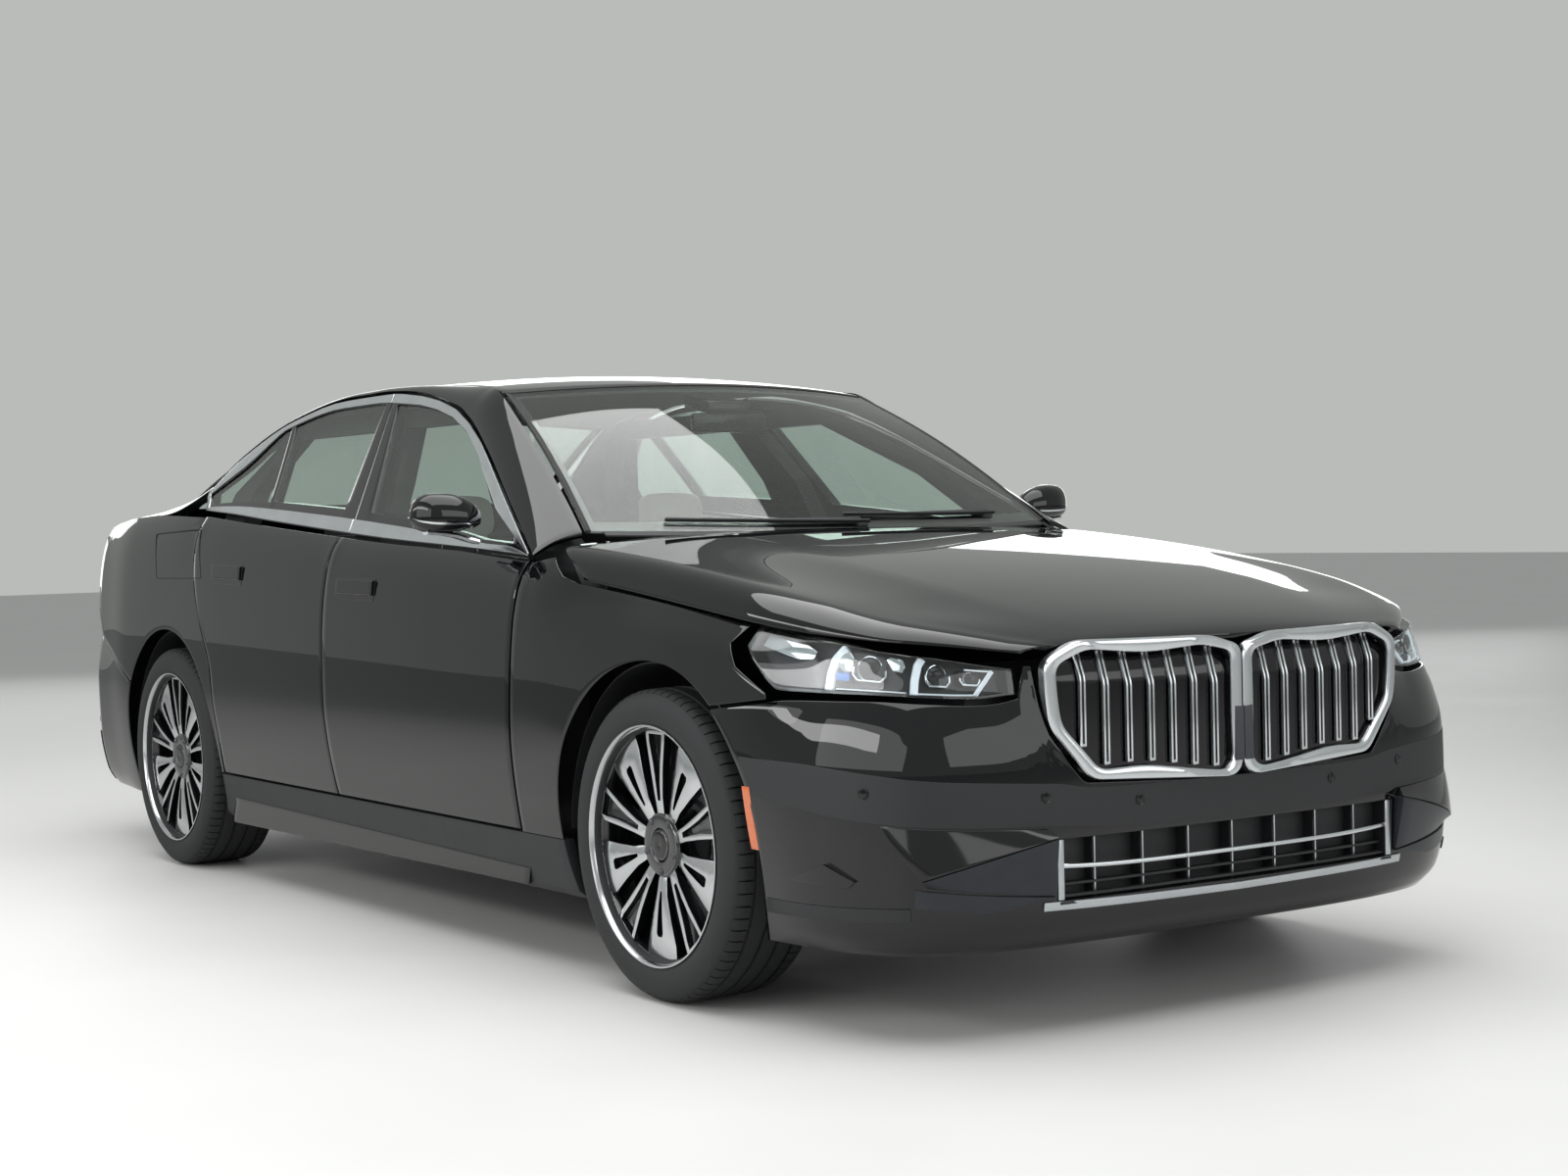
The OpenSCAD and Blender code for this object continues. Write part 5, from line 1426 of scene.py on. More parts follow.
def build_intake():
    half, back = 478, -2452
    fins, edges, bars, lower = Solid(), Solid(), Solid(), Solid()
    xs = steps(-half, half, 40)
    for k in range(-3, 4):
        x = 128 * k
        y = front_y(x, 350)
        fins.join(box((x - 3.5, x + 3.5), (y + 26, back), (INTAKE_LOW, INTAKE_HIGH)))
        edges.join(box((x - 2, x + 2), (y + 22, y + 27), (INTAKE_LOW + 2, INTAKE_HIGH - 2)))
    for side in (-1, 1):
        x = side * (half + 6)
        y = front_y(x, 350)
        fins.join(box((x - 7, x + 7), (y + 5, back), (INTAKE_LOW, INTAKE_HIGH)))
        edges.join(box((x - 8, x + 8), (y + 2, y + 5.5), (INTAKE_LOW + 2, INTAKE_HIGH - 2)))
    path = [(x, front_y(x, 350) + 13, lerp(348, 356, (x / half) ** 4)) for x in xs]
    bars = sweep(path, [(-9, -3.5), (7, -5), (9, -2.5), (9, 2.5), (7, 5), (-9, 3.5)])
    for z, depth in ((INTAKE_LOW + 8, 20), (316, 30)):
        path = [(x, front_y(x, 320) + depth, z) for x in xs]
        lower.join(sweep(path, [(-10, -3), (10, -3), (10, 3), (-10, 3)]))
    walls = box((-half - 14, half + 14), (back, back + 6), (INTAKE_LOW - 6, INTAKE_HIGH + 6))
    for z in (INTAKE_LOW - 7, INTAKE_HIGH + 1):
        path = [(x, (front_y(x, 350) + 8 + back) / 2, z + 3) for x in steps(-half - 10, half + 10, 30)]
        walls.join(sweep(path, [(-26, -3), (26, -3), (26, 3), (-26, 3)]))
    make("intake_bright_bar", bars, CHROME, "body", 0.8)
    make("intake_fin_edges", edges, LIP, "body", 0.6)
    make("intake_fins", fins.join(lower).join(walls), GRAINED, "body", 0.8, segments=1)


# Satin graphite lacquer: dark grey metallic flake, soft sheen on the intake cheeks
BLADE = surface(
    "satin_graphite_lacquer", "#26292d", "#34373c", 60, (0.3, 0.42), ("noise", 3, 0.05, 0.05), metallic=0.5
)


def build_bumper_trim():
    top = Curve([[0, 508], [0.16, 512], [0.216, 525], [0.45, 545], [0.703, 567], [0.8, 574], [1, 578]])
    low = Curve([[0, 418], [0.12, 424], [0.2, 437], [0.4, 449], [0.577, 459], [0.7, 468], [1, 500]])
    band = np.array(
        mirror_rows([[bumper_pt(t, z) for z in steps(low(t), top(t), 8)] for t in steps(0, 0.985, 70)])
    )
    make("bumper_band", skin(band, -1.2), GRAINED, "body", 0.5, segments=1)
    pieces = (
        ("bumper_wedge", [(0.577, 457), (0.235, 436), (0.225, 420), (0.462, 347)], [1, 6, 26, 20], PIANO),
        ("bumper_flank", [(0.462, 345), (0.226, 417), (0.224, 299), (0.452, 331)], [20, 26, 8, 2], BLADE),
        ("bumper_blade", [(0.478, 328), (0.222, 296), (0.333, 273), (0.481, 291)], [3, 9, 6, 1], BLADE),
        (
            "bumper_corner_facet", [(0.885, 330), (0.75, 375), (0.658, 342), (0.684, 327)], [1, 14, 9, 1],
            PIANO
        ),
        ("bumper_lower_edge", [(0.985, 284), (0.49, 289), (0.49, 262), (0.985, 252)], [2, 5, 4, 2], GRAINED),
    )
    for name, corners, proud, mat in pieces:
        make(name, both(patch(bumper_pt, corners, proud, 16, 8)), mat, "body", 0.8)
    lip = np.array(
        mirror_rows(
            [
                [bumper_pt(t, z) for z in steps(lerp(262, 268, t / 0.24), lerp(278, 286, t / 0.24), 4)]
                for t in steps(0, 0.24, 24)
            ]
        )
    )
    g = skin(lip, -5)
    make("bumper_silver_lip", g, LIP, "body", 1.2)
    buttons = Solid()
    for t, z in ((0.2356, 500), (0.104, 478), (0.62, 520)):
        p, q = np.array(bumper_pt(t, z)), np.array(bumper_pt(t + 0.01, z))
        out = np.cross(q - p, (0, 0, 1))
        out = out * math.copysign(1, out @ (p - [0, 0, z]))
        buttons.join(
            dial(
                p, out,
                [(0.3, -2), (12, -2), (12, 2.4), (11, 2.6), (10, 1.6), (8.6, 1.6), (8, 2.8), (0.3, 3.2)], 28
            )
        )
    make("parking_sensors", both(buttons), PAINT, "body", turn=30)


# Headlamps
LAMP_TOP = Curve([[0.268, 764], [0.4, 788], [0.6, 808], [0.75, 827], [0.81, 834], [0.86, 843], [0.93, 853]])
LAMP_LOW = Curve(
    [
        [0.268, 706], [0.33, 700], [0.45, 706], [0.6, 712], [0.75, 714], [0.835, 717], [0.88, 752],
        [0.93, 812]
    ]
)


def lamp_pt(s, f, depth=0.0):
    """Point of the lamp: s from the inner end rearwards, f from the lower edge up, depth behind the lens."""
    t = lerp(0.268, 0.925, s)
    p = nose(t, lerp(LAMP_LOW(t) + 3, LAMP_TOP(t) - 4, f))
    return np.array(p) + np.array([-s, 1 - s, 0]) * depth


def lamp_out(s):
    return np.array([s, s - 1, 0.0])


def lamp_block(outline, front, back):
    return prism(outline, front, back, lambda s, f, d: lamp_pt(s, f, d))


def lamp_line(points, wide, front, deep=6.0):
    """Light bar along points of the lamp."""
    p = dense(points, 0.03, closed=False)
    path = [lamp_pt(s, f, front) for s, f in p]
    return ribbon(path, wide, 0.6, np.array([lamp_out(s) for s, f in p]), deep)


def lamp_grid(s0, s1, f0, f1, depth, m=40, n=10):
    return np.array([[lamp_pt(s, f, depth) for f in steps(f0, f1, n)] for s in steps(s0, s1, m)])


def build_headlamps():
    make(
        "headlamp_housings",
        both(sheet(lamp_grid(0.004, 0.996, 0.02, 0.98, 40), lamp_grid(0.004, 0.996, 0.02, 0.98, 58))),
        LAMP_BLACK, "body"
    )
    ss = [0, 0.012] + steps(0.04, 0.95, 36) + [0.985, 1]
    fs = [0, 0.055, 0.2, 0.4, 0.6, 0.8, 0.965, 1]
    rim = [np.array([[lamp_pt(s, f, d) for f in fs] for s in ss]) for d in (3.4, 40)]
    rim = sheet(rim[0], rim[1], [(1, len(ss) - 2, 1, len(fs) - 2)])
    make("headlamp_rims", both(rim), PIANO, "body", 0, replaces=["headlamps"])
    bright = Solid()
    bright.join(lamp_line([(0.12, 0.8), (0.045, 0.83)], 3.2, 10))
    bright.join(lamp_line([(0.04, 0.84), (0.062, 0.5), (0.095, 0.1)], 8, 9))
    bright.join(lamp_line([(0.095, 0.1), (0.3, 0.08)], 3, 10))
    bright.join(lamp_line([(0.345, 0.09), (0.66, 0.09)], 2.2, 12))
    bright.join(lamp_line([(0.265, 0.95), (0.285, 0.76), (0.3, 0.4), (0.305, 0.06)], 15, 14, 10))
    bright.join(lamp_line([(0.645, 0.92), (0.68, 0.66), (0.69, 0.4), (0.69, 0.06)], 17, 14, 10))
    make("headlamp_light_bars", both(bright), GUIDE, "body", 0.8)
    shine = lamp_block(
        [
            (0.968, 0.84), (0.88, 0.94), (0.8, 0.86), (0.755, 0.76), (0.765, 0.6), (0.82, 0.58),
            (0.968, 0.42)
        ],
        12, 34
    )
    shine.join(
        lamp_block(
            [(0.625, 0.86), (0.6, 0.74), (0.605, 0.46), (0.635, 0.42), (0.67, 0.55), (0.665, 0.8)], 16, 34
        )
    )
    shine.join(
        lamp_block(
            [(0.345, 0.72), (0.36, 0.56), (0.41, 0.58), (0.44, 0.82), (0.42, 0.93), (0.36, 0.9)], 18, 34
        )
    )
    make("headlamp_bright_blades", both(shine), MIRROR, "body", 1.5)
    make(
        "headlamp_blue_accents",
        both(lamp_block([(0.612, 0.42), (0.61, 0.26), (0.665, 0.26), (0.668, 0.42)], 15, 30)), BLUE_GUIDE,
        "body", 1
    )
    cases, lenses, cups = Solid(), Solid(), Solid()
    for s0, s1, f0, f1, r in (
        (0.44, 0.595, 0.3, 0.84, 23), (0.17, 0.255, 0.3, 0.84, 19), (0.075, 0.135, 0.38, 0.74, 10)
    ):
        s, f = (s0 + s1) / 2, (f0 + f1) / 2
        cases.join(
            lamp_block(
                [
                    (s0, f1), (s1, f1), (s1, f0 + 0.12), (lerp(s0, s1, 0.85), f0), (lerp(s0, s1, 0.15), f0),
                    (s0, f0 + 0.12)
                ],
                22, 40
            )
        )
        bottom = [
            (s0, lerp(f0, f1, 0.5)), (s0, f0 + 0.12), (lerp(s0, s1, 0.15), f0), (lerp(s0, s1, 0.85), f0),
            (s1, f0 + 0.12), (s1, lerp(f0, f1, 0.5))
        ]
        cups.join(lamp_line(bottom, 3.2, 15, 8))
        centre = lamp_pt(s, f, 24)
        lenses.join(
            dial(
                centre, lamp_out(s),
                [(0.2, -4), (r, -4), (r, 0), (r * 0.93, 3.4), (r * 0.75, 7), (r * 0.45, 10), (0.2, 11)], 40
            )
        )
        cups.join(
            dial(
                centre, lamp_out(s), [(r + 0.4, -6), (r + 3, -6), (r + 3, 3), (r + 1.6, 4), (r + 0.4, 3)],
                40
            )
        )
    make("headlamp_lens_cases", both(cases), LAMP_BLACK, "body", 1.2)
    make("headlamp_lens_rings", both(cups), MIRROR, "body")
    make("headlamp_lenses", both(lenses), SCREEN, "body", turn=50)
    make(
        "headlamp_outer_lens", both(sheet(lamp_grid(0, 1, 0, 1, 0, 60), lamp_grid(0, 1, 0, 1, 3, 60))),
        LENS_GLASS, "body", 0.8, slot="lamp_lens"
    )


# Door mirrors
def loft(stations, angles, mats):
    """Closed body through stations (x, y, z, front depth, rear depth, height up, height down) round listed angles."""
    rows = []
    for x, y, z, front, rear, up, down in stations:
        row = []
        for a in angles:
            c, s = math.cos(a), math.sin(a)
            c, s = math.copysign(abs(c) ** 0.75, c), math.copysign(abs(s) ** 0.8, s)
            row.append((x, y - (front if c > 0 else rear) * c, z + (up if s > 0 else down) * s))
        rows.append(row)
    n = len(angles)
    solid = Solid().add([p for r in rows for p in r], [])
    for i in range(len(rows) - 1):
        for j in range(n):
            solid.f.append((i * n + j, i * n + (j + 1) % n, (i + 1) * n + (j + 1) % n, (i + 1) * n + j))
            solid.m.append(mats[j])
    solid.f += [tuple(reversed(range(n))), tuple((len(rows) - 1) * n + j for j in range(n))]
    solid.m += [2, 0]
    return solid


def build_mirrors():
    degrees = [
        -90, -74, -60, -46, -32, -22, -16, -13.5, -6, 6, 18, 30, 42, 54, 66, 78, 90, 106, 124, 142, 160,
        180, 200, 218, 236, 254
    ]
    mats = [0 if -14 < d < 140 else 1 if -23 < d < -13 else 3 if 139 < d < 230 else 2 for d in degrees]
    ups = Curve([[0, 30], [0.08, 42], [0.25, 55], [0.5, 63], [0.75, 60], [0.9, 47], [0.97, 30], [1, 12]])
    fronts = Curve([[0, 26], [0.1, 40], [0.3, 56], [0.6, 60], [0.8, 52], [0.93, 34], [1, 8]])
    stations = []
    for s in steps(0, 1, 22):
        up = ups(s)
        stations.append(
            (
                lerp(893, 1064, s), lerp(-742, -722, s), 1092 + 10 * s, fronts(s), 24 * min(1, up / 30), up,
                up * lerp(0.5, 0.66, s)
            )
        )
    head = loft(stations, [math.radians(d) for d in degrees], mats)
    arm = sweep(
        [(898, -752, 1036), (925, -748, 1044), (955, -744, 1054), (990, -740, 1060), (1030, -732, 1063)],
        [(-26, -5), (20, -6), (26, 0), (20, 6), (-26, 5)]
    )
    arm.m = [1] * len(arm.f)
    glass = loft(
        [(x, y + 26, z, 1, 1.5, up * 0.8, down * 0.8) for x, y, z, f, r, up, down in stations[2:-2]],
        [math.radians(a) for a in range(0, 360, 15)], [0] * 24
    )
    for side in ("left", "right"):
        shape = head.join(arm) if side == "left" else head.mirrored()
        pane = glass if side == "left" else glass.mirrored()
        make(
            f"mirror_cap_{side}", shape, [PAINT, CHROME, PIANO, PIANO], f"door_front_{side}",
            replaces=[f"mirror_{side}"], slot="body_paint", turn=36
        )
        make(f"mirror_glass_{side}", pane, MIRROR, f"door_front_{side}", turn=30)


# Handles, flap, markers and side trim
def outlined(fn, corners, wide, proud):
    """Thin dark joint line round a shape on a surface."""
    line = dense(rounded(corners, 10), 14)
    p = [np.array(fn(a, b)) for a, b in line]
    return sweep(
        p, [(-wide / 2, -1), (wide / 2, -1), (wide / 2, proud), (-wide / 2, proud)], (1, 0, 0), closed=True
    )


def handle(y0, y1, z0, z1, lean):
    """Pull of one door: a bowed blade lying in a shallow dark recess."""
    recess = patch(side_pt, [(y1, z0 + lean), (y1, z1 + lean), (y0, z1), (y0, z0)], 0.7, 24, 8, 1)
    blade = patch(
        side_pt,
        [
            (y1 - 5, lerp(z0, z1, 0.24) + lean), (y1 - 5, z1 - 5 + lean), (y0 + 5, z1 - 5),
            (y0 + 5, lerp(z0, z1, 0.24))
        ],
        [8, 11, 11, 8], 24, 8, 1
    )
    return recess, blade


def build_side_trim():
    for which, span_y, span_z, lean in (
        ("front", (-186, 52), (880, 940), 3), ("rear", (754, 986), (914, 976), 4)
    ):
        recess, blade = handle(*span_y, *span_z, lean)
        pair(f"handle_recess_{which}", recess, PIANO, f"door_{which}_SIDE", round_mm=0.3, segments=1)
        pair(f"handle_{which}", blade, PAINT, f"door_{which}_SIDE", round_mm=3, segments=3)
    lock = dial(side_pt(30, 908), (1, 0, 0.1), [(0.3, 0), (9, 0), (9, 12.2), (8, 13), (0.3, 13)], 28)
    make("lock_cover_left", lock, PAINT, "door_front_left")
    flap = outlined(side_pt, [(1551, 1076), (1159, 1088), (1089, 934), (1493, 931)], 3.2, 0.6)
    make("charge_flap_joint", flap.mirrored(), SEAL, "body")
    marker = patch(side_pt, [(-1984, 382), (-1976, 516), (-2003, 516), (-2012, 382)], 1.6, 4, 10, 1)
    make("side_reflectors", both(marker), AMBER, "body", 1)
    facet = patch(side_pt, [(900, 258), (-990, 238), (-975, 196), (965, 178)], [1, 1, 9, 9], 6, 60, 1)
    make("skirt_facets", both(facet), PIANO, "body", 1.2)


# Cabin: stuffed seats, wheel, dashboard
def smooth(low, high, v):
    t = np.clip((v - low) / (high - low), 0, 1)
    return t * t * (3 - 2 * t)


def pillow(half, centre, lean=0.0, bolster=0.0, front=2, n=16, power=7):
    """Rounded block with raised side bolsters on its sitting face; front: 2 for the top, 1 for the face towards the nose."""
    solid = Solid()
    for axis in range(3):
        for sign in (-1, 1):
            u, v = np.meshgrid(np.linspace(-1, 1, n), np.linspace(-1, 1, n), indexing="ij")
            p = np.zeros((n, n, 3))
            p[..., axis], p[..., (axis + 1) % 3], p[..., (axis + 2) % 3] = sign, u, v
            p /= (np.abs(p) ** power).sum(2, keepdims=True) ** (1 / power)
            q = p * np.array(half, float)
            side = smooth(0.62, 0.92, np.abs(p[..., 0]))
            sitting = np.clip(p[..., 2] if front == 2 else -p[..., 1], 0, 1)
            q[..., front] += (1 if front == 2 else -1) * bolster * side * sitting
            c, s = math.cos(math.radians(lean)), math.sin(math.radians(lean))
            y, z = q[..., 1] * c + q[..., 2] * s, q[..., 2] * c - q[..., 1] * s
            q = np.stack([q[..., 0], y, z], 2) + np.array(centre, float)
            faces = [
                (i * n + j, (i + 1) * n + j, (i + 1) * n + j + 1, i * n + j + 1) for i in range(n - 1)
                for j in range(n - 1)
            ]
            solid.add(q.reshape(-1, 3), faces if sign > 0 else [tuple(reversed(f)) for f in faces])
    return solid


def applied(obj):
    """The object's modifiers worked into a fresh mesh."""
    reached = bpy.context.evaluated_depsgraph_get()
    mesh = bpy.data.meshes.new_from_object(obj.evaluated_get(reached))
    obj.modifiers.clear()
    obj.data = mesh


def corners_of(mesh):
    flat_list = np.empty(len(mesh.vertices) * 3)
    mesh.vertices.foreach_get("co", flat_list)
    return flat_list.reshape(-1, 3)


def stuffed(name, solid, mat, body, channels, cap=24, voxel=11.0, replaces=(), twin=None):
    """Padded piece: swollen as cloth under pressure, then given its sewn channels."""
    scene = bpy.context.scene
    mesh = bpy.data.meshes.new(name)
    mesh.from_pydata([(x * MM, y * MM, z * MM) for x, y, z in solid.v], [], solid.f)
    clean = bmesh.new()
    clean.from_mesh(mesh)
    bmesh.ops.remove_doubles(clean, verts=clean.verts, dist=1e-4)
    bmesh.ops.recalc_face_normals(clean, faces=clean.faces)
    clean.to_mesh(mesh)
    clean.free()
    obj = bpy.data.objects.new(name, mesh)
    scene.collection.objects.link(obj)
    voxels = obj.modifiers.new("voxels", "REMESH")
    voxels.mode = "VOXEL"
    voxels.voxel_size = voxel * MM
    applied(obj)
    rest = corners_of(obj.data)
    cloth = obj.modifiers.new("filling", "CLOTH")
    cloth.settings.use_pressure = True
    cloth.settings.uniform_pressure_force = 4
    cloth.settings.effector_weights.gravity = 0
    for number in range(1, 21):
        scene.frame_set(number)
    applied(obj)
    move = corners_of(obj.data) - rest
    far = np.linalg.norm(move, axis=1, keepdims=True)
    move *= np.minimum(1, cap * MM / np.maximum(far, 1e-9))
    obj.data.vertices.foreach_set("co", (rest + move).ravel())
    scene.frame_set(1)
    fine = obj.modifiers.new("fine", "SUBSURF")
    fine.levels = fine.render_levels = 1
    applied(obj)
    mesh = obj.data
    co = corners_of(mesh)
    out = np.empty(len(mesh.vertices) * 3)
    mesh.vertices.foreach_get("normal", out)
    co -= out.reshape(-1, 3) * (channels(co / MM) * MM)[:, None]
    mesh.vertices.foreach_set("co", co.ravel())
    made = [(obj, body)]
    if twin:
        other = bmesh.new()
        other.from_mesh(mesh)
        for v in other.verts:
            v.co.x = -v.co.x
        bmesh.ops.reverse_faces(other, faces=other.faces)
        second = bpy.data.meshes.new(twin)
        other.to_mesh(second)
        other.free()
        copy = bpy.data.objects.new(twin, second)
        scene.collection.objects.link(copy)
        made.append((copy, body))
    for piece, rides in made:
        piece.data.name = piece.name
        piece.data.materials.clear()
        piece.data.materials.append(mat)
        piece.data.shade_smooth()
        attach(piece, rides)
    if replaces:
        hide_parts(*replaces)


def sewn(places, value, depth, wide=7.0):
    """Depth of channels that run where a measure meets given places."""
    groove = np.zeros_like(value)
    for place in places:
        groove = np.maximum(groove, depth * np.exp(-(((value - place) / wide) ** 2)))
    return groove


SEAT_X = 375


def build_seats():
    seat = pillow((226, 246, 50), (SEAT_X, -108, 380), 0, 24)
    seat.join(pillow((222, 42, 292), (SEAT_X, 288, 716), 19, 26, front=1))
    seat.join(pillow((112, 30, 66), (SEAT_X, 382, 1104), 12, 4, front=1, power=4))

    def front_channels(p):
        across = np.abs(p[:, 0] - SEAT_X)
        inside = smooth(150, 138, across)
        ribs = sewn(range(-340, 130, 52), p[:, 1], 5) * (p[:, 2] < 470)
        ribs += sewn(range(500, 960, 58), p[:, 2], 5) * (p[:, 2] >= 470)
        return sewn([142], across, 6) + ribs * inside * (p[:, 2] < 980)

    stuffed(
        "front_seat_left", seat, HIDE, "body", front_channels, replaces=["front_seats"],
        twin="front_seat_right"
    )
    base = box((SEAT_X - 205, SEAT_X + 205), (-330, 120), (206, 318))
    base.join(
        box((SEAT_X - 190, SEAT_X - 150), (-360, 150), (196, 212))
    ).join(box((SEAT_X + 150, SEAT_X + 190), (-360, 150), (196, 212)))
    make("front_seat_bases", both(base), GRAINED, "body", 10)
    posts = rod((SEAT_X - 60, 386, 985), (SEAT_X - 60, 384, 1070), 6).join(
        rod((SEAT_X + 60, 386, 985), (SEAT_X + 60, 384, 1070), 6)
    )
    make("headrest_posts", both(posts), CHROME, "body")
    bench = pillow((596, 196, 42), (0, 1145, 466), 0, 8, n=22)
    bench.join(pillow((590, 34, 222), (0, 1404, 757), 12, 10, front=1, n=22))

    def bench_channels(p):
        ribs = sewn(
            [-420, -210, 210, 420], p[:, 0], 7
        ) + sewn(range(980, 1340, 60), p[:, 1], 4) * (p[:, 2] < 530)
        return ribs + sewn([640, 720, 800, 880], p[:, 2], 4)

    stuffed("rear_bench_cushions", bench, HIDE, "body", bench_channels, voxel=12.0, replaces=["rear_seat"])


def build_cockpit():
    centre = np.array([375.0, -480, 880])
    out = (0, math.cos(math.radians(25)), math.sin(math.radians(25)))
    o, u, w = facing(out)
    rim = dial(
        centre, out,
        [(178 + 14 * math.cos(t), 15 * math.sin(t)) for t in [2 * math.pi * k / 16 for k in range(16)]], 96
    )
    rim.join(
        dial(centre, out, [(0.3, -30), (60, -30), (72, -12), (74, 6), (62, 18), (30, 24), (0.3, 25)], 48)
    )
    for turn, wide in ((0, 44), (math.pi, 44), (-math.pi / 2, 30)):
        along = u * math.cos(turn) + w * math.sin(turn)
        spoke = ribbon([centre + along * r for r in (55, 110, 172)], wide, 9, o, 9)
        spoke.m = [1] * len(spoke.f)
        rim.join(spoke)
    rim.join(rod(centre - o * 28, centre - o * 146, 30))
    make(
        "steering_wheel_grip", rim, [DARK_HIDE, PIANO], "steering_wheel", replaces=["steering_wheel"],
        slot="wheel_leather", turn=44
    )
    profile = [
        (-1088, 712), (-1088, 962), (-1040, 984), (-900, 998), (-760, 968), (-655, 934), (-628, 905),
        (-622, 800), (-660, 700), (-705, 645), (-760, 642)
    ]
    bulk = prism(rounded(profile, 24), -698, 698, lambda a, b, level: (level, a, b))
    make(
        "dashboard_skin", bulk, DASH, "body", 10, segments=3, replaces=["dashboard"], slot="dash_plastic",
        turn=50
    )
    display = prism(
        rounded([(-150, 905), (-150, 1022), (590, 1030), (590, 905)], 14), 0, 14, lambda a, b,
        d: (a, -640 + 0.12 * (b - 905) * -1 + d, b)
    )
    make("curved_display", display, SCREEN, "body", 2)
    trims = ribbon([(x, -618, 856) for x in steps(-680, 680, 8)], 12, 4, (0, 1, 0), 4)
    make("dashboard_trim", trims, ANODISED, "body", 1)
    console = prism(
        rounded(
            [(-612, 300), (-612, 640), (-520, 640), (-380, 560), (250, 560), (300, 520), (300, 300)], 30
        ),
        -108, 108, lambda a, b, level: (level, a, b)
    )
    make("centre_console", console, DASH, "body", 12, segments=3, turn=50)
    tray = prism(
        rounded([(-80, -500), (80, -500), (80, -60), (-80, -60)], 20), 562, 566, lambda a, b,
        level: (a, b + 200, level)
    )
    make("console_panel", tray, PIANO, "body", 1)
    mirror = prism(
        rounded([(-118, 1322), (-122, 1376), (122, 1376), (118, 1322)], 16), 0, 22, lambda a, b,
        d: (a, -560 + d, b)
    )
    eye = prism(
        rounded([(-70, -560), (-52, -392), (52, -392), (70, -560)], 16), 1372, 1408, lambda a, b,
        level: (a, b, level + (b + 560) * 0.16)
    )
    make("inner_mirror", mirror.join(eye), PIANO, "body", 5, segments=3)


# Tail lamps, blank plate, diffuser, wipers
def tail_lamp_pt(s, f, depth=0.0):
    """Point of the rear lamp: s outwards from the lid, f upwards, depth behind the lens."""
    p = tail(lerp(0.445, 0.76, s), lerp(lerp(822, 838, s), 973.7, f))
    return np.array(p) - np.array([s, 1 - s, 0]) * depth


def build_rear():
    grids = [
        np.array([[tail_lamp_pt(s, f, d) for f in steps(0, 1, 12)] for s in steps(0, 1, 40)])
        for d in (0.5, 58)
    ]
    make(
        "tail_lamp_lenses", both(sheet(*grids)), RED, "body", 2, segments=3, replaces=["tail_lamps"],
        slot="tail_lens"
    )
    guides = Solid()
    for line in (
        [(0.03, 0.8), (0.6, 0.8), (0.88, 0.74), (0.93, 0.5)],
        [(0.03, 0.36), (0.55, 0.36), (0.8, 0.3), (0.86, 0.12)], [(0.52, 0.74), (0.6, 0.44)]
    ):
        p = dense(line, 0.03, closed=False)
        guides.join(
            ribbon(
                [tail_lamp_pt(s, f, -0.4) for s, f in p], 7, 1.4, np.array([(s, 1 - s, 0.0) for s, f in p]),
                2
            )
        )
    make("tail_light_guides", both(guides), RED_BRIGHT, "body", 0.5, segments=1)
    lid = np.array([[boot_pt(w, u) for u in steps(0.76, 0.88, 8)] for w in steps(0.72, 0.985, 20)])
    make(
        "lid_lamp_lenses", both(sheet(lid + [0, 6, 0], lid + [0, 1, 0])), RED, "boot_lid", 1.5, segments=3,
        replaces=["lid_lamps"]
    )
    line = [np.array(boot_pt(w, 0.79)) + [0, 6.2, 0] for w in steps(0.75, 0.975, 12)]
    make(
        "lid_light_guides", both(ribbon(line, 7, 1.2, (0, 1, 0), 2)), RED_BRIGHT, "boot_lid", 0.5,
        segments=1
    )
    middle = np.array(boot_pt(0, 0.86))
    up = np.array(boot_pt(0, 0.82)) - np.array(boot_pt(0, 0.9))
    up *= math.copysign(1, up[2]) / np.linalg.norm(up)
    plate = prism(
        rounded([(-260, -56), (-260, 56), (260, 56), (260, -56)], 9), 5, 8, lambda a, b,
        d: middle + [a, d, 0] + up * b
    )
    holder = prism(
        rounded([(-272, -66), (-272, 66), (272, 66), (272, -66)], 14), -2, 5, lambda a, b,
        d: middle + [a, d, 0] + up * b
    )
    make("blank_rear_plate", plate, PLATE, "boot_lid", 0.8)
    make("plate_holder", holder, GRAINED, "boot_lid", 1.5)
    under = np.array(
        mirror_rows([[rear_bumper_pt(t, f) for f in steps(0.02, 0.3, 8)] for t in steps(0, 0.68, 40)])
    )
    make("rear_diffuser", skin(under, -4), GRAINED, "body", 2)
    fins = Solid()
    for x in (90, 250, 410):
        t = x / 1250
        p, q = np.array(rear_bumper_pt(t, 0.03)), np.array(rear_bumper_pt(t, 0.26))
        fins.join(ribbon([p + [0, 2, 0], (p + q) / 2 + [0, 4, 0], q + [0, 2, 0]], 8, 12, (0, 1, 0), 4))
    make("diffuser_fins", both(fins), PIANO, "body", 1.5)
    reflector = patch(rear_bumper_pt, [(0.5, 0.34), (0.5, 0.37), (0.64, 0.38), (0.64, 0.35)], 2.5, 10, 3)
    make("rear_reflectors", both(reflector), RED, "body", 1)
    rear_eyes = Solid()
    for t in (0.12, 0.36):
        p, q = np.array(rear_bumper_pt(t, 0.5)), np.array(rear_bumper_pt(t + 0.01, 0.5))
        out = np.cross((0, 0, 1), q - p)
        out = out * math.copysign(1, out[1])
        rear_eyes.join(dial(p, out, [(0.3, -2), (12, -2), (12, 2.4), (10, 1.6), (8, 2.8), (0.3, 3.2)], 28))
    make("rear_parking_sensors", both(rear_eyes), PAINT, "body", turn=30)


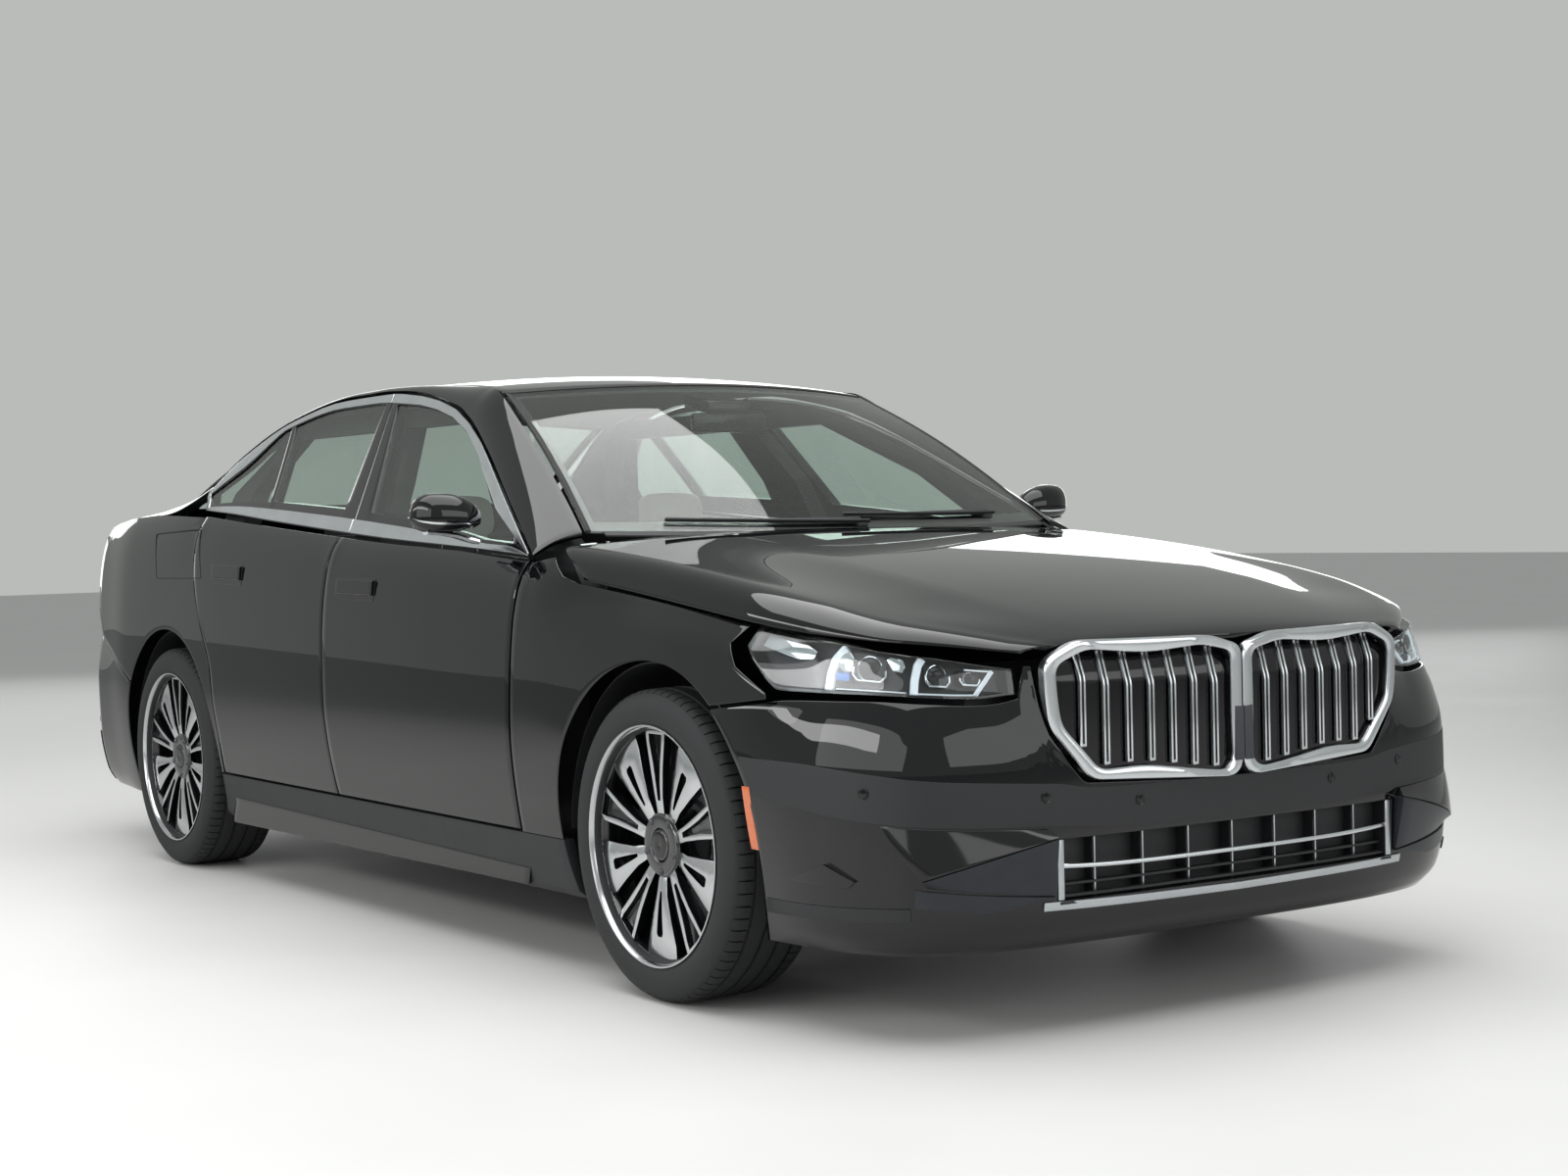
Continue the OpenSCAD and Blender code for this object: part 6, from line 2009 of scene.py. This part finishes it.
def build_wipers():
    wipers = Solid()
    for start, end, lift in ((0.12, -0.72, 0.03), (0.78, -0.02, 0.05)):
        blade = [
            np.array(windscreen_pt(lerp(start, end, k), lift + 0.02 * k)) + [0, -5, 6]
            for k in steps(0.06, 1, 16)
        ]
        arm = [
            np.array(windscreen_pt(lerp(start, end, k), lift + 0.014)) + [0, -4, 6]
            for k in steps(0.1, 0.55, 8)
        ]
        wipers.join(ribbon(blade, 8, 4, (0, -0.5, 1), 5)).join(ribbon(arm, 10, 3, (0, -0.5, 1), 4))
    make("windscreen_wipers", wipers, GRAINED, "body", 1.2)
    cowl = np.array(
        [
            [
                (
                    x, lerp(-1158, -1178, k) + 132 * (abs(x) / 738) ** 2,
                    lerp(1046, 1036, k) + 12 * (abs(x) / 738) ** 2
                )
                for k in steps(0, 1, 4)
            ]
            for x in steps(-700, 700, 40)
        ]
    )
    make("cowl_grille", sheet(cowl, cowl - [0, 0, 5]), GRAINED, "body", 1)
    cover = outlined(bumper_pt, [(0.212, 497), (0.212, 450), (0.158, 446), (0.158, 492)], 2.2, 0.8)
    make("tow_eye_cover_joint", cover.mirrored(), SEAL, "body")
    edge = [
        windscreen_pt(-1 + 0.012, u) for u in steps(0, 1, 30)
    ] + [windscreen_pt(w, 1) for w in steps(
        -0.98, 0.98, 40
    )] + [windscreen_pt(1 - 0.012, u) for u in steps(1, 0, 30)]
    make(
        "windscreen_seal", sweep(edge, [(-7, -6), (7, -6), (7, 1.5), (-7, 1.5)], (0, -0.4, 1)), SEAL,
        "body", 0.6
    )
    edge = [
        rear_window_pt(-1 + 0.012, u) for u in steps(0, 1, 30)
    ] + [rear_window_pt(w, 1) for w in steps(
        -0.98, 0.98, 40
    )] + [rear_window_pt(1 - 0.012, u) for u in steps(1, 0, 30)]
    make(
        "rear_window_seal", sweep(edge, [(-7, -6), (7, -6), (7, 1.5), (-7, 1.5)], (0, 0.4, 1)), SEAL,
        "body", 0.6
    )


# Carried-over construction
def dress_nodes():
    finishes = {
        "floor_pan": COATING, "battery_pack": PACK, "drive_units": CAST, "side_frames": INNER,
        "arch_liners": GRAINED,
        "bulkheads": CARPET, "axle_frames": CAST, "knuckle_left": CAST, "knuckle_right": CAST,
    }
    for node, mat in finishes.items():
        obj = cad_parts[node]
        obj.data.materials.clear()
        obj.data.materials.append(mat)


# Floor and light
def set_stage():
    floor = bpy.data.meshes.new("floor")
    r = 40
    floor.from_pydata([(-r, -r, 0), (r, -r, 0), (r, r, 0), (-r, r, 0)], [], [(0, 1, 2, 3)])
    floor.materials.append(FLOOR)
    obj = bpy.data.objects.new("floor", floor)
    bpy.context.scene.collection.objects.link(obj)
    world = bpy.data.worlds.new("studio")
    bpy.context.scene.world = world
    world.use_nodes = True
    tree = world.node_tree
    plain = tree.nodes["Background"]
    plain.inputs["Color"].default_value = colour("#d9dcde")
    plain.inputs["Strength"].default_value = 0.55
    seen = add(tree, "ShaderNodeBackground", {"Color": colour("#b9bcb9"), "Strength": 1.0})
    path = add(tree, "ShaderNodeLightPath")
    glossy = add(
        tree, "ShaderNodeMath", None, {0: path.outputs["Is Camera Ray"], 1: path.outputs["Is Glossy Ray"]},
        operation="MAXIMUM"
    )
    shown = add(
        tree, "ShaderNodeMath", None, {0: glossy.outputs[0], 1: path.outputs["Is Transmission Ray"]},
        operation="MAXIMUM"
    )
    choose = add(
        tree, "ShaderNodeMixShader", None, {0: shown.outputs[0], 1: plain.outputs[0], 2: seen.outputs[0]}
    )
    tree.links.new(choose.outputs[0], tree.nodes["World Output"].inputs["Surface"])
    for name, place, turn, size, power in (
        ("ceiling", (-1.0, -1.5, 5.2), (0, 0, 0), (6.5, 7.5), 420),
        ("left_wall", (-7.0, -3.0, 2.6), (0, math.radians(-72), 0), (3.2, 9.0), 130),
        ("front_wall", (2.0, -9.0, 2.6), (math.radians(70), 0, 0), (9.0, 2.6), 120),
        ("side_strip", (-6.4, 0.5, 3.1), (0, math.radians(-66), 0), (0.7, 9.0), 110),
        ("far_wall", (6.5, 11.0, 2.6), (math.radians(-80), 0, math.radians(-24)), (17.0, 3.4), 420),
    ):
        light = bpy.data.lights.new(name, "AREA")
        light.shape = "RECTANGLE"
        light.size, light.size_y = size
        light.energy = power
        lamp = bpy.data.objects.new(name, light)
        lamp.location, lamp.rotation_euler = place, turn
        lamp.visible_camera = False
        lamp.visible_diffuse = name != "far_wall"
        bpy.context.scene.collection.objects.link(lamp)
    bpy.context.scene.view_settings.view_transform = "Standard"


set_camera()
set_stage()
dress_nodes()
build_doors()
build_shell()
build_screens()
build_wheels()
build_grille()
build_intake()
build_bumper_trim()
build_headlamps()
build_mirrors()
build_side_trim()
build_seats()
build_cockpit()
build_rear()
build_wipers()
